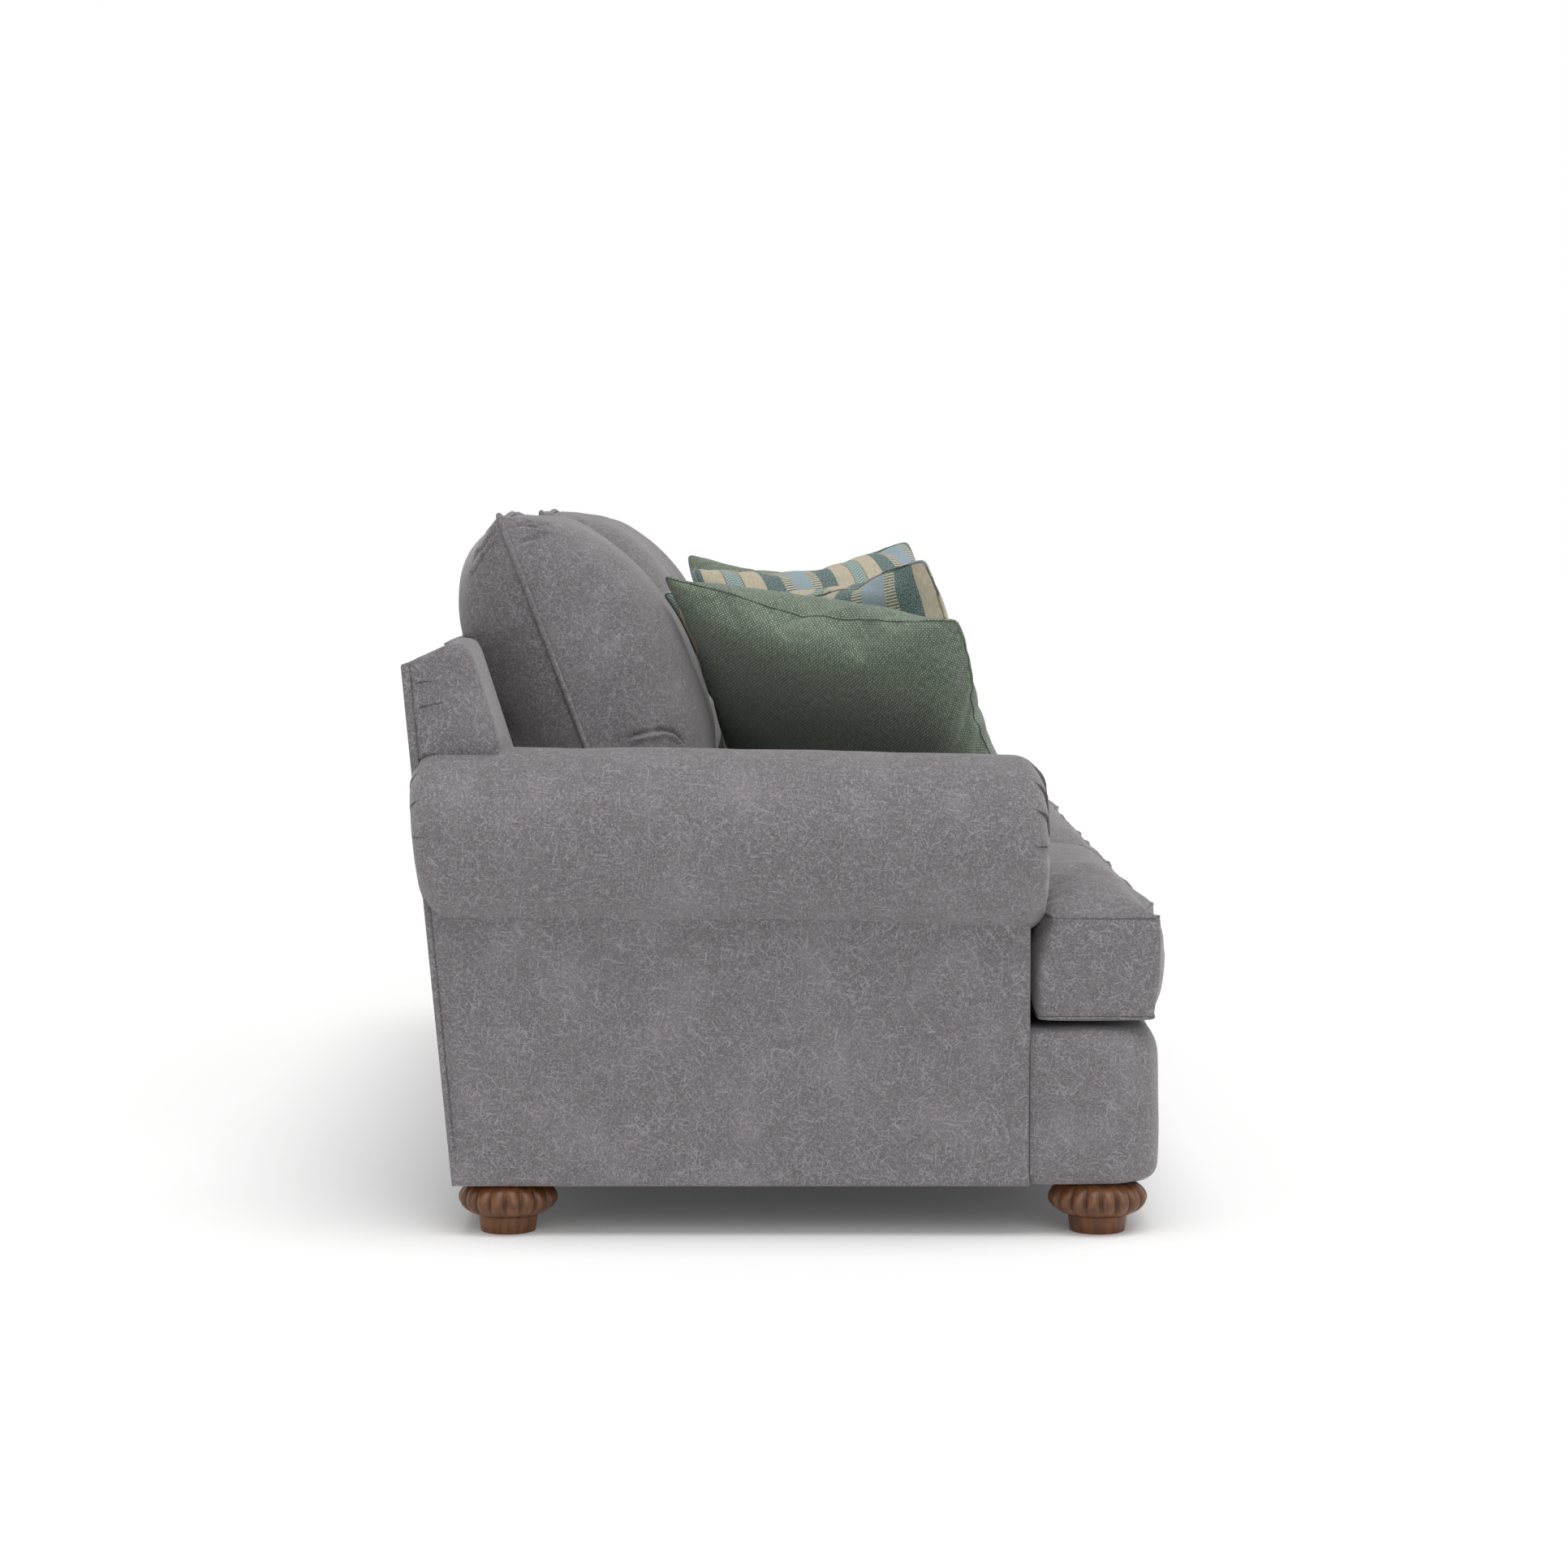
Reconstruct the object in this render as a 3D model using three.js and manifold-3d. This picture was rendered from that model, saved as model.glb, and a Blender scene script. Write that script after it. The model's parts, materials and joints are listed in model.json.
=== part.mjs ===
// English roll arm sofa: three T-front seat cushions, three back cushions, four toss pillows,
// pleated roll arms on a hardwood frame, and gadrooned bun feet.
// Millimetres. +X to the sitter's left, -Y to the front, +Z up. The floor is Z = 0.
import * as THREE from 'three';
import { mergeVertices } from 'three/addons/utils/BufferGeometryUtils.js';
import Module from 'manifold-3d';

const wasm = await Module();
wasm.setup();

// Overall form
const sofaLength = 2290;
const armWidth = 245;
const rollOverhang = 60;
const armFront = 330;
const armTailReach = 16;
const baseFront = 506;
const rearReach = 454;
const backLean = 5.35;
const backRise = 112.5;
const hemHeight = 70;
const deckHeight = 288;

// Fits
const clearance = 0.3;
const cutOverrun = 40;
const weldDistance = 0.001;
const settleReach = 60;

// Upholstery
const coverThickness = 14;
const frontPadding = 30;
const baseCornerRadius = 66;
const baseEdgeRadius = 22;
const dustCoverThickness = 1.5;
const outsideBackThickness = 12;

// Roll of the arm
const rollCentreHeight = 541;
const rollFall = 13;
const rollPadding = 32;
const rollRounding = 42;
const rollFrontProud = 20;
const rollRearProud = 4;
const pleatCount = 14;
const pleatDepth = 5;
const faceDome = 5;
const faceShare = 0.4;
const faceDomeShare = 0.7;
const faceFoldShare = 0.3;
const foldShares = [1, 0.25, 0, 0.35];
const rimShares = [[90, 0.6], [52, 1], [22, 0.5], [0, 0]];

// Inside back
const backFootDepth = 96;
const backTopDepth = 6;
const backTopRise = 40;
const backEdgeRadius = 26;
const wingFootDepth = 73;
const wingTopDepth = 24;
const wingOverlap = 40;
const backRidge = 4;

// Hardwood frame
const railThickness = 25;
const deckDepth = 26;
const railAboveHem = 3;
const stretcherHeight = 60;
const postWidth = 28;
const postDepth = 50;
const postDrop = 51;
const topRailHeight = 37;
const tuckRailHeight = 50;
const tuckRailRise = 32;
const boardThickness = 22;
const armRailWidth = 40;
const armRailHeight = 70;
const rearBoardSetback = 94;
const backRailInset = 13;
const backRailDepth = 50;
const frontRailEndGap = 50;

// Springs under the deck
const springWire = 4;
const springsPerSeat = 3;
const springBends = 14;
const springSwing = 24;
const springLanding = 12;
const leastMiterShare = 0.5;

// Feet
const footRadius = 68;
const footSpigot = 2.5;
const footNeckRadius = 41;
const footToeRadius = 37.5;
const footBlockHeight = 24;
const footTopRadius = 44;
const footInset = 60;
const frontFootSetback = 79;
const rearFootSetback = 74;
const lobeCount = 18;
const lobeDepth = 6;
const bunFullness = 0.62;
const bunRingShares = [0.16, 0.36, 0.58, 0.8];
const facesPerLobe = 3;
const toeChamfer = 1.5;
const boltDiameter = 8;
const boltBelow = 45;
const boltAbove = 30;
const blockSize = 78;
const blockHeight = 40;

// Loose cushions
const seatCount = 3;
const cushionGap = 3;
const seatSideHeight = 141;
const seatSag = 8;
const seatCrown = 44;
const seatPlateauShare = 0.72;
const seatFrontProud = 1;
const seatRearGap = 13;
const seatRowShares = [-1, -0.95, -0.84, -0.7, -0.3, 0.1, 0.5, 0.8, 0.95, 1];
const seatCrownPower = 2.4;
const seatCornerShare = 0.9;
const earSideInset = 5;
const earGap = 10;
const earStepShare = 0.012;
const earTuck = 24;
const seatSideDraw = 5;
const seatCornerDraw = 15;
const seatCornerSetback = 9;
const seatFrontBow = 4;
const backCushionLean = 20.4;
const backCushionHeight = 538;
const backCushionSetback = 146;
const backCushionRise = 196;
const backCushionFrontDepth = 160;
const backCushionRearDepth = 104;
const backCushionSeam = 8;
const backCushionFullness = 0.75;
const backCushionDrawShare = 0.03;

// Toss pillows
const pillowSize = 457;
const pillowDepth = 58;
const pillowSeam = 6;
const pillowDrawShare = 0.05;
const pillowFullness = 0.6;
const pillowGap = 0.8;
const greenPillow = { inside: 188, before: 295, height: 704, yaw: 30, lean: 38, roll: 11 };
const stripedPillow = { inside: 344, before: 315, height: 712, yaw: 28, lean: 25, roll: -5 };

// Sizes worked out from those above
const railTop = deckHeight - deckDepth;
const railBottom = hemHeight + railAboveHem;
const backRailRear = rearReach - backRailInset;
const tuckRailBottom = deckHeight + tuckRailRise;
const backFootFront = rearReach - backFootDepth;
const backTopFront = rearReach - backTopDepth;
const wingFootFront = rearReach - wingFootDepth;
const wingTopFront = rearReach - wingTopDepth;
const armRearReach = rearReach + armTailReach;
const footHeight = hemHeight + footSpigot;
const seatFront = baseFront + seatFrontProud;
const seatRear = backFootFront - seatRearGap;
const earRear = armFront + earGap;
const backCushionFoot = backFootFront - backCushionSetback;
const backCushionBase = deckHeight + backCushionRise;
const halfLength = sofaLength / 2;
const armInside = halfLength - armWidth;
const panelFace = halfLength - rollOverhang;
const rollRadius = armWidth / 2;
const backHeight = rollCentreHeight + rollRadius + backRise;
const rollCentre = halfLength - rollRadius;
const panelInside = panelFace - coverThickness;
const railFace = panelInside - clearance;
const postTop = backHeight - postDrop;
const rearBoardFront = rearReach - rearBoardSetback;
const footSpread = panelFace - footInset;
const earSide = panelFace - earSideInset;
const footAhead = baseFront - frontFootSetback;
const footBehind = rearReach - rearFootSetback;
const backSlope = Math.tan(THREE.MathUtils.degToRad(backLean));
const rearAt = (z) => rearReach + (z - hemHeight) * backSlope;
const panelBackAt = (z) => rearAt(z) - outsideBackThickness;
const structureRearAt = (z) => panelBackAt(z) - clearance;

const paint = {
  cloth: { color: 0x757073, roughness: 0.92, metalness: 0 },
  green: { color: 0x5a735f, roughness: 0.95, metalness: 0 },
  stripe: { color: 0x8fa19e, roughness: 0.95, metalness: 0 },
  walnut: { color: 0x733f1d, roughness: 0.42, metalness: 0 },
  hardwood: { color: 0xb98f5d, roughness: 0.7, metalness: 0 },
  steel: { color: 0x8a8d90, roughness: 0.35, metalness: 1 },
  lining: { color: 0x1f1f21, roughness: 0.98, metalness: 0 },
};

const sofa = new THREE.Group();

// Adds one named piece in its own finish.
function addPiece(name, geometry, finish) {
  const shape = geometry.clone();
  shape.computeVertexNormals();
  const mesh = new THREE.Mesh(shape, new THREE.MeshStandardMaterial({ ...paint[finish] }));
  mesh.name = name;
  sofa.add(mesh);
  return mesh;
}

// A closed surface with shared corners and no collapsed faces.
function welded(geometry) {
  const bare = new THREE.BufferGeometry();
  bare.setAttribute('position', geometry.attributes.position.clone());
  if (geometry.index) bare.setIndex(geometry.index.clone());
  const merged = mergeVertices(bare, weldDistance);
  const faces = [];
  const index = merged.index.array;
  for (let i = 0; i < index.length; i += 3) {
    const [a, b, c] = [index[i], index[i + 1], index[i + 2]];
    if (a !== b && b !== c && c !== a) faces.push(a, b, c);
  }
  merged.setIndex(faces);
  return merged;
}

function solidOf(geometry) {
  const closed = welded(geometry);
  const vertProperties = new Float32Array(closed.attributes.position.array);
  const triVerts = new Uint32Array(closed.index.array);
  return new wasm.Manifold(new wasm.Mesh({ numProp: 3, vertProperties, triVerts }));
}

function geometryOf(solid) {
  const mesh = solid.getMesh();
  const geometry = new THREE.BufferGeometry();
  geometry.setAttribute('position', new THREE.BufferAttribute(mesh.vertProperties, mesh.numProp));
  geometry.setIndex(new THREE.BufferAttribute(mesh.triVerts, 1));
  return geometry;
}

const joined = (...geometries) => geometryOf(geometries.map(solidOf).reduce((a, b) => a.add(b)));
const cut = (geometry, ...tools) =>
  geometryOf(tools.map(solidOf).reduce((a, b) => a.subtract(b), solidOf(geometry)));

// A straight block between two values on each axis.
function block([x0, x1], [y0, y1], [z0, z1]) {
  const geometry = new THREE.BoxGeometry(x1 - x0, y1 - y0, z1 - z0);
  return geometry.translate((x0 + x1) / 2, (y0 + y1) / 2, (z0 + z1) / 2);
}

// An outline whose corners are [across, up, radius], each rounded by its radius.
function outline(corners, steps = 4) {
  const shape = new THREE.Shape();
  corners.forEach(([x, y, radius = 0], i) => {
    const corner = new THREE.Vector2(x, y);
    const before = new THREE.Vector2(...corners.at(i - 1));
    const after = new THREE.Vector2(...corners[(i + 1) % corners.length]);
    const start = corner.clone().add(before.sub(corner).setLength(radius));
    const end = corner.clone().add(after.sub(corner).setLength(radius));
    if (i === 0) shape.moveTo(start.x, start.y);
    else shape.lineTo(start.x, start.y);
    if (radius > 0) shape.quadraticCurveTo(corner.x, corner.y, end.x, end.y);
  });
  shape.closePath();
  return new THREE.Shape(shape.getPoints(steps));
}

// A prism along X of an outline in Y and Z.
function prismAlongX(shape, x0, x1) {
  const turn = new THREE.Matrix4().makeBasis(
    new THREE.Vector3(0, 1, 0), new THREE.Vector3(0, 0, 1), new THREE.Vector3(1, 0, 0));
  const geometry = new THREE.ExtrudeGeometry(shape, { depth: x1 - x0, bevelEnabled: false });
  return geometry.applyMatrix4(turn).translate(x0, 0, 0);
}

// A prism along Y of an outline in X and Z.
function prismAlongY(shape, y0, y1, steps = 12) {
  const geometry = new THREE.ExtrudeGeometry(
    shape, { depth: y1 - y0, bevelEnabled: false, curveSegments: steps });
  return geometry.rotateX(Math.PI / 2).translate(0, y1, 0);
}

function prismAlongZ(shape, z0, z1) {
  const geometry = new THREE.ExtrudeGeometry(shape, { depth: z1 - z0, bevelEnabled: false });
  return geometry.translate(0, 0, z0);
}

function rod(radius, x, y, z0, z1, sides = 12) {
  const geometry = new THREE.CylinderGeometry(radius, radius, z1 - z0, sides);
  return geometry.rotateX(Math.PI / 2).translate(x, y, (z0 + z1) / 2);
}

// Lowers a loose piece until it rests on the one beneath, that gap above it.
function settled(geometry, beneath, gap = clearance) {
  const support = solidOf(beneath);
  const touches = (drop) => {
    const moved = solidOf(geometry.clone().translate(0, 0, -drop));
    return moved.intersect(support).volume() > 0;
  };
  let [free, stopped] = [-settleReach, settleReach];
  while (stopped - free > clearance / 8) {
    const middle = (free + stopped) / 2;
    if (touches(middle)) stopped = middle;
    else free = middle;
  }
  return geometry.clone().translate(0, 0, gap - free);
}

// Moves every corner of a geometry through a rule.
function warp(geometry, rule) {
  const place = geometry.attributes.position;
  const point = new THREE.Vector3();
  for (let i = 0; i < place.count; i += 1) {
    point.copy(rule(point.fromBufferAttribute(place, i).clone()));
    place.setXYZ(i, point.x, point.y, point.z);
  }
  return geometry;
}

// A skin through rings with as many points each, closed by a point at either end.
function loft(first, rings, last) {
  const points = [first, ...rings.flat(), last];
  const sides = rings[0].length;
  const faces = [];
  const at = (ring, side) => 1 + ring * sides + (side % sides);
  const end = points.length - 1;
  for (let side = 0; side < sides; side += 1) {
    faces.push(0, at(0, side + 1), at(0, side));
    faces.push(end, at(rings.length - 1, side), at(rings.length - 1, side + 1));
    for (let ring = 0; ring < rings.length - 1; ring += 1) {
      const [a, b] = [at(ring, side), at(ring, side + 1)];
      const [c, d] = [at(ring + 1, side), at(ring + 1, side + 1)];
      faces.push(a, b, d, a, d, c);
    }
  }
  const geometry = new THREE.BufferGeometry();
  const flat = points.flatMap((p) => [p.x, p.y, p.z]);
  geometry.setAttribute('position', new THREE.Float32BufferAttribute(flat, 3));
  geometry.setIndex(faces);
  return facingOut(geometry);
}

// Turns a closed skin's faces outward where its rings ran the other way round.
function facingOut(geometry) {
  const index = geometry.index.array;
  const [a, b, c] = [new THREE.Vector3(), new THREE.Vector3(), new THREE.Vector3()];
  const place = geometry.attributes.position;
  let volume = 0;
  for (let i = 0; i < index.length; i += 3) {
    [a, b, c].forEach((corner, j) => corner.fromBufferAttribute(place, index[i + j]));
    volume += a.dot(b.cross(c));
  }
  if (volume > 0) return geometry;
  for (let i = 0; i < index.length; i += 3) [index[i], index[i + 1]] = [index[i + 1], index[i]];
  return geometry;
}

// Hardwood frame

function addFrame() {
  const rails = [railBottom, railTop];
  const frontFace = -baseFront + frontPadding + clearance;
  const frontRear = frontFace + railThickness;
  const frontHalf = panelFace - frontRailEndGap;
  addPiece('front_rail', block([-frontHalf, frontHalf], [frontFace, frontRear], rails), 'hardwood');
  const backFace = backRailRear - backRailDepth;
  addPiece('back_rail', block([-railFace, railFace], [backFace, backRailRear], rails), 'hardwood');

  const innerFace = railFace - railThickness;
  const between = [frontRear + clearance, backFace - clearance];
  for (const [side, sign] of [['right', -1], ['left', 1]]) {
    const faces = [sign * innerFace, sign * railFace].sort((a, b) => a - b);
    addPiece(`side_rail_${side}`, block(faces, between, rails), 'hardwood');
    const place = sign * (armInside / seatCount);
    const stretcher = block(
      [place - railThickness / 2, place + railThickness / 2], between,
      [railTop - springWire - stretcherHeight, railTop - springWire]);
    addPiece(`seat_stretcher_${side}`, stretcher, 'hardwood');
    addArmFrame(side, sign);
  }
  addBackFrame();
}

// The stump and scroll outline of an arm board.
function armSection(grow) {
  const inner = armInside + coverThickness + clearance - grow;
  const outer = panelInside - clearance + grow;
  const radius = rollRadius - rollPadding + grow;
  const stump = [[inner, railTop + clearance - grow], [outer, railTop + clearance - grow],
    [outer, rollCentreHeight], [inner, rollCentreHeight]];
  return { stump, radius };
}

function armSolid(grow, y0, y1, sign) {
  const { stump, radius } = armSection(grow);
  const scroll = new THREE.CylinderGeometry(radius, radius, y1 - y0, 24);
  scroll.translate(0, (y0 + y1) / 2, 0).translate(rollCentre, 0, rollCentreHeight);
  const solid = joined(prismAlongY(outline(stump), y0, y1), scroll);
  return sign > 0 ? solid : mirrored(solid);
}

// The same solid on the other side of the sofa, with its faces still out.
function mirrored(geometry) {
  return facingOut(geometry.clone().scale(-1, 1, 1));
}

function addArmFrame(side, sign) {
  const frontFace = -armFront + coverThickness + clearance;
  const frontEnd = frontFace + boardThickness;
  const rearEnd = rearBoardFront + boardThickness;
  addPiece(`arm_board_front_${side}`, armSolid(0, frontFace, frontEnd, sign), 'hardwood');
  addPiece(`arm_board_rear_${side}`, armSolid(0, rearBoardFront, rearEnd, sign), 'hardwood');
  const centre = sign * rollCentre;
  const rail = block(
    [centre - armRailWidth / 2, centre + armRailWidth / 2],
    [frontEnd + clearance, rearBoardFront - clearance],
    [rollCentreHeight - armRailHeight / 2, rollCentreHeight + armRailHeight / 2]);
  addPiece(`arm_rail_${side}`, rail, 'hardwood');
}

// A leaning bar of the back frame between two heights.
function leaningBar(x0, x1, z0, z1) {
  const corners = [
    [structureRearAt(z0) - postDepth, z0], [structureRearAt(z0), z0],
    [structureRearAt(z1), z1], [structureRearAt(z1) - postDepth, z1]];
  return prismAlongX(outline(corners), x0, x1);
}

function addBackFrame() {
  const outerPost = railFace - coverThickness - postWidth / 2;
  const innerPost = armInside / seatCount;
  const posts = [['right', -outerPost], ['inner_right', -innerPost], ['inner_left', innerPost],
    ['left', outerPost]];
  for (const [side, x] of posts) {
    const post = leaningBar(x - postWidth / 2, x + postWidth / 2, railTop + clearance, postTop);
    addPiece(`back_post_${side}`, post, 'hardwood');
  }
  const railHalf = outerPost + postWidth / 2;
  const topRail = leaningBar(-railHalf, railHalf, postTop + clearance, postTop + topRailHeight);
  addPiece('back_top_rail', topRail, 'hardwood');
  const postFront = structureRearAt(tuckRailBottom) - postDepth - clearance;
  const tuckHalf = armInside - coverThickness;
  const tuckRail = block(
    [-tuckHalf, tuckHalf], [postFront - railThickness, postFront],
    [tuckRailBottom, tuckRailBottom + tuckRailHeight]);
  addPiece('back_tuck_rail', tuckRail, 'hardwood');
}

// Springs: bent wires from the front rail to the back rail, tied by an edge wire at each end

// A square-sided wire along a flat path, mitred at its bends.
function flatWire(path, z) {
  const half = springWire / 2;
  const rings = path.map((point, i) => {
    const before = path[Math.max(i - 1, 0)];
    const after = path[Math.min(i + 1, path.length - 1)];
    const into = point.clone().sub(before);
    const out = after.clone().sub(point);
    const along = into.lengthSq() === 0 ? out : into;
    const ahead = out.lengthSq() === 0 ? into : out;
    const miter = along.normalize().add(ahead.normalize()).normalize();
    const cosine = Math.max(Math.abs(miter.dot(ahead)), leastMiterShare);
    const side = new THREE.Vector2(-miter.y, miter.x).multiplyScalar(half / cosine);
    return [
      new THREE.Vector3(point.x + side.x, point.y + side.y, z - half),
      new THREE.Vector3(point.x - side.x, point.y - side.y, z - half),
      new THREE.Vector3(point.x - side.x, point.y - side.y, z + half),
      new THREE.Vector3(point.x + side.x, point.y + side.y, z + half)];
  });
  const centre = (i) => new THREE.Vector3(path[i].x, path[i].y, z);
  return loft(centre(0), rings, centre(path.length - 1));
}

function addSprings() {
  const z = railTop + clearance + springWire / 2;
  const start = -baseFront + frontPadding + springLanding;
  const stop = backRailRear - backRailDepth + springLanding;
  const pitch = (stop - start) / (springBends + 1);
  const count = seatCount * springsPerSeat;
  const spacing = (2 * armInside) / count;
  const wires = [];
  for (let i = 0; i < count; i += 1) {
    const x = -armInside + spacing * (i + 0.5);
    const path = [new THREE.Vector2(x, start)];
    for (let bend = 1; bend <= springBends; bend += 1) {
      const reach = bend % 2 ? springSwing : -springSwing;
      const y = start + pitch * bend;
      const enter = bend === 1 ? 0 : -reach;
      path.push(new THREE.Vector2(x + enter, y), new THREE.Vector2(x + reach, y));
    }
    const last = springBends % 2 ? springSwing : -springSwing;
    path.push(new THREE.Vector2(x + last, stop - pitch / 2), new THREE.Vector2(x, stop));
    wires.push(flatWire(path, z));
  }
  const reach = armInside - spacing / 2 + springSwing;
  const edges = [start + springWire, stop - springWire].map((y) => flatWire(
    [new THREE.Vector2(-reach, y), new THREE.Vector2(reach, y)], z));
  addPiece('spring_unit', joined(...wires, ...edges), 'steel');
}

// Feet

// A gadrooned bun on a plain tapered block. The lobes swell and fade with the bun.
function footShape() {
  const bun = hemHeight - clearance - footBlockHeight;
  const profile = [
    [0, 0], [footToeRadius - toeChamfer, 0], [footToeRadius, toeChamfer],
    [footNeckRadius, footBlockHeight]];
  const swell = (share) => {
    const edge = THREE.MathUtils.lerp(footNeckRadius, footTopRadius, share);
    return edge + (footRadius - edge) * Math.sin(Math.PI * share) ** bunFullness;
  };
  bunRingShares.forEach((share) => profile.push([swell(share), footBlockHeight + bun * share]));
  profile.push(
    [footTopRadius, footBlockHeight + bun], [footTopRadius, footHeight], [0, footHeight]);
  const points = profile.map(([r, z]) => new THREE.Vector2(r, z));
  const turned = new THREE.LatheGeometry(points, lobeCount * facesPerLobe).rotateX(Math.PI / 2);
  return warp(turned, (p) => {
    const share = (p.z - footBlockHeight) / bun;
    if (share <= 0 || share >= 1) return p;
    const angle = Math.atan2(p.y, p.x);
    const groove = 1 - Math.abs(Math.sin((angle * lobeCount) / 2));
    const radius = Math.hypot(p.x, p.y);
    const depth = lobeDepth * groove * Math.sin(Math.PI * share);
    const factor = (radius - depth) / radius;
    return new THREE.Vector3(p.x * factor, p.y * factor, p.z);
  });
}

function addFeet() {
  const seat = footHeight + clearance;
  for (const [end, y, inward] of [['front', -footAhead, 1], ['rear', footBehind, -1]]) {
    for (const [side, sign] of [['right', -1], ['left', 1]]) {
      const x = sign * footSpread;
      const bore = (low, high) => rod(boltDiameter / 2 + clearance, x, y, low, high);
      const foot = footShape().translate(x, y, 0);
      const low = seat - boltBelow;
      addPiece(`foot_${end}_${side}`, cut(foot, bore(low - clearance, seat + cutOverrun)), 'walnut');
      addPiece(`foot_bolt_${end}_${side}`, rod(boltDiameter / 2, x, y, low, seat + boltAbove), 'steel');
      const outer = railFace - railThickness - clearance;
      const railSide = inward > 0
        ? -baseFront + frontPadding + railThickness + 2 * clearance
        : backRailRear - backRailDepth - clearance;
      const xs = [sign * outer, sign * (outer - blockSize)].sort((a, b) => a - b);
      const ys = [railSide, railSide + inward * blockSize].sort((a, b) => a - b);
      const corner = block(xs, ys, [railBottom, railBottom + blockHeight]);
      addPiece(`corner_block_${end}_${side}`, cut(corner, bore(hemHeight, seat + cutOverrun)), 'hardwood');
    }
  }
}

// Roll arms

// The stuffed roll: a round bolster that falls a little to the front, with a pleated face at either end.
function rollShape(grow, sign) {
  const sides = pleatCount * foldShares.length;
  const radius = rollRadius + grow;
  const rounding = rollRounding;
  const frontFace = -(armFront + rollFrontProud) - grow;
  const rearFace = rearReach + rollRearProud + grow + (rollCentreHeight - hemHeight) * backSlope;
  const run = rearFace - frontFace;
  const ring = (y, r, fold, rear) => Array.from({ length: sides }, (_, i) => {
    const angle = (2 * Math.PI * i) / sides;
    const share = (y - frontFace) / run;
    const reach = r - fold * pleatDepth * foldShares[i % foldShares.length];
    const z = rollCentreHeight - rollFall * (1 - share) ** 2 + reach * Math.sin(angle);
    const lean = rear ? (z - rollCentreHeight) * backSlope : 0;
    return new THREE.Vector3(sign * (rollCentre + reach * Math.cos(angle)), y + lean, z);
  });
  const corner = (degrees) => {
    const angle = THREE.MathUtils.degToRad(degrees);
    return { inset: rounding * (1 - Math.cos(angle)), ahead: rounding * (1 - Math.sin(angle)) };
  };
  const frontRings = rimShares.map(([degrees, fold]) => {
    const { inset, ahead } = corner(degrees);
    return ring(frontFace + ahead, radius - inset, fold, false);
  });
  const rearRings = rimShares.toReversed().map(([degrees, fold]) => {
    const { inset, ahead } = corner(degrees);
    return ring(rearFace - ahead, radius - inset, fold, true);
  });
  const face = (radius - rounding) * faceShare;
  const rings = [
    ring(frontFace - faceDome * faceDomeShare, face, faceFoldShare, false), ...frontRings,
    ...rearRings, ring(rearFace, face, faceFoldShare, true)];
  const centre = (y, z) => new THREE.Vector3(sign * rollCentre, y, z);
  const first = centre(frontFace - faceDome, rollCentreHeight - rollFall);
  const last = centre(rearFace, rollCentreHeight);
  return loft(first, rings, last);
}

// Everything behind the front face of the outside back, between its side edges.
function behindBack() {
  const [low, high] = [hemHeight - cutOverrun, backHeight + cutOverrun];
  const front = (z) => panelBackAt(z) - clearance;
  const corners = [
    [front(low), low], [rearAt(high) + cutOverrun, low],
    [rearAt(high) + cutOverrun, high], [front(high), high]];
  return prismAlongX(outline(corners), -railFace - clearance, railFace + clearance);
}

function outsideBackShape(grow) {
  const [low, high] = [hemHeight - grow, backHeight + grow];
  const ridge = high + backRidge;
  const corners = [
    [panelBackAt(low) - grow, low], [rearAt(low) + grow, low],
    [rearAt(high) + grow, high], [panelBackAt(ridge) - grow, ridge]];
  return prismAlongX(outline(corners), -railFace - grow, railFace + grow);
}

function addArm(side, sign) {
  const span = (low, high) => [sign * low, sign * high].sort((a, b) => a - b);
  const farBack = rearAt(backHeight) + cutOverrun;
  const low = railTop + clearance;
  const stuffed = joined(
    rollShape(0, sign),
    block(span(armInside, armInside + coverThickness), [-armFront, armRearReach], [low, rollCentreHeight]));
  const hollow = armSolid(clearance, -armFront + coverThickness, rearBoardFront + 2 * boardThickness, sign);
  const { stump } = armSection(clearance);
  const slot = block(
    span(stump[0][0], stump[1][0]), [0, farBack], [low - cutOverrun, rollCentreHeight]);
  const postOuter = railFace - coverThickness;
  const postSlot = block(
    span(postOuter - postWidth - clearance, postOuter + clearance),
    [rearBoardFront + boardThickness, farBack], [rollCentreHeight - cutOverrun, backHeight]);
  const cover = cut(stuffed, hollow, slot, postSlot, behindBack());
  addPiece(`arm_cover_${side}`, cover, 'cloth');

  const rearCorner = (z) => [rearAt(z), z];
  const wall = [
    [-armFront, hemHeight], rearCorner(hemHeight), rearCorner(rollCentreHeight), [-armFront, rollCentreHeight]];
  const [x0, x1] = span(panelInside, panelFace);
  const panel = joined(
    prismAlongX(outline(wall), x0, x1),
    block(span(armInside, panelFace), [-armFront, -armFront + coverThickness],
      [deckHeight, rollCentreHeight]));
  const trimmed = cut(panel, rollShape(clearance, sign), block(
    span(armInside - cutOverrun, armInside + coverThickness + clearance),
    [-armFront - cutOverrun, farBack], [hemHeight, rollCentreHeight]));
  addPiece(`outside_arm_${side}`, trimmed, 'cloth');
}

// Base front: one padded cover round the front rail, with rounded corners and edges

function basePlan(inset, rear) {
  const half = panelFace - inset;
  const front = -baseFront + inset;
  const radius = baseCornerRadius - inset;
  return outline([[-half, front, radius], [half, front, radius], [half, rear], [-half, rear]], 6);
}

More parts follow.
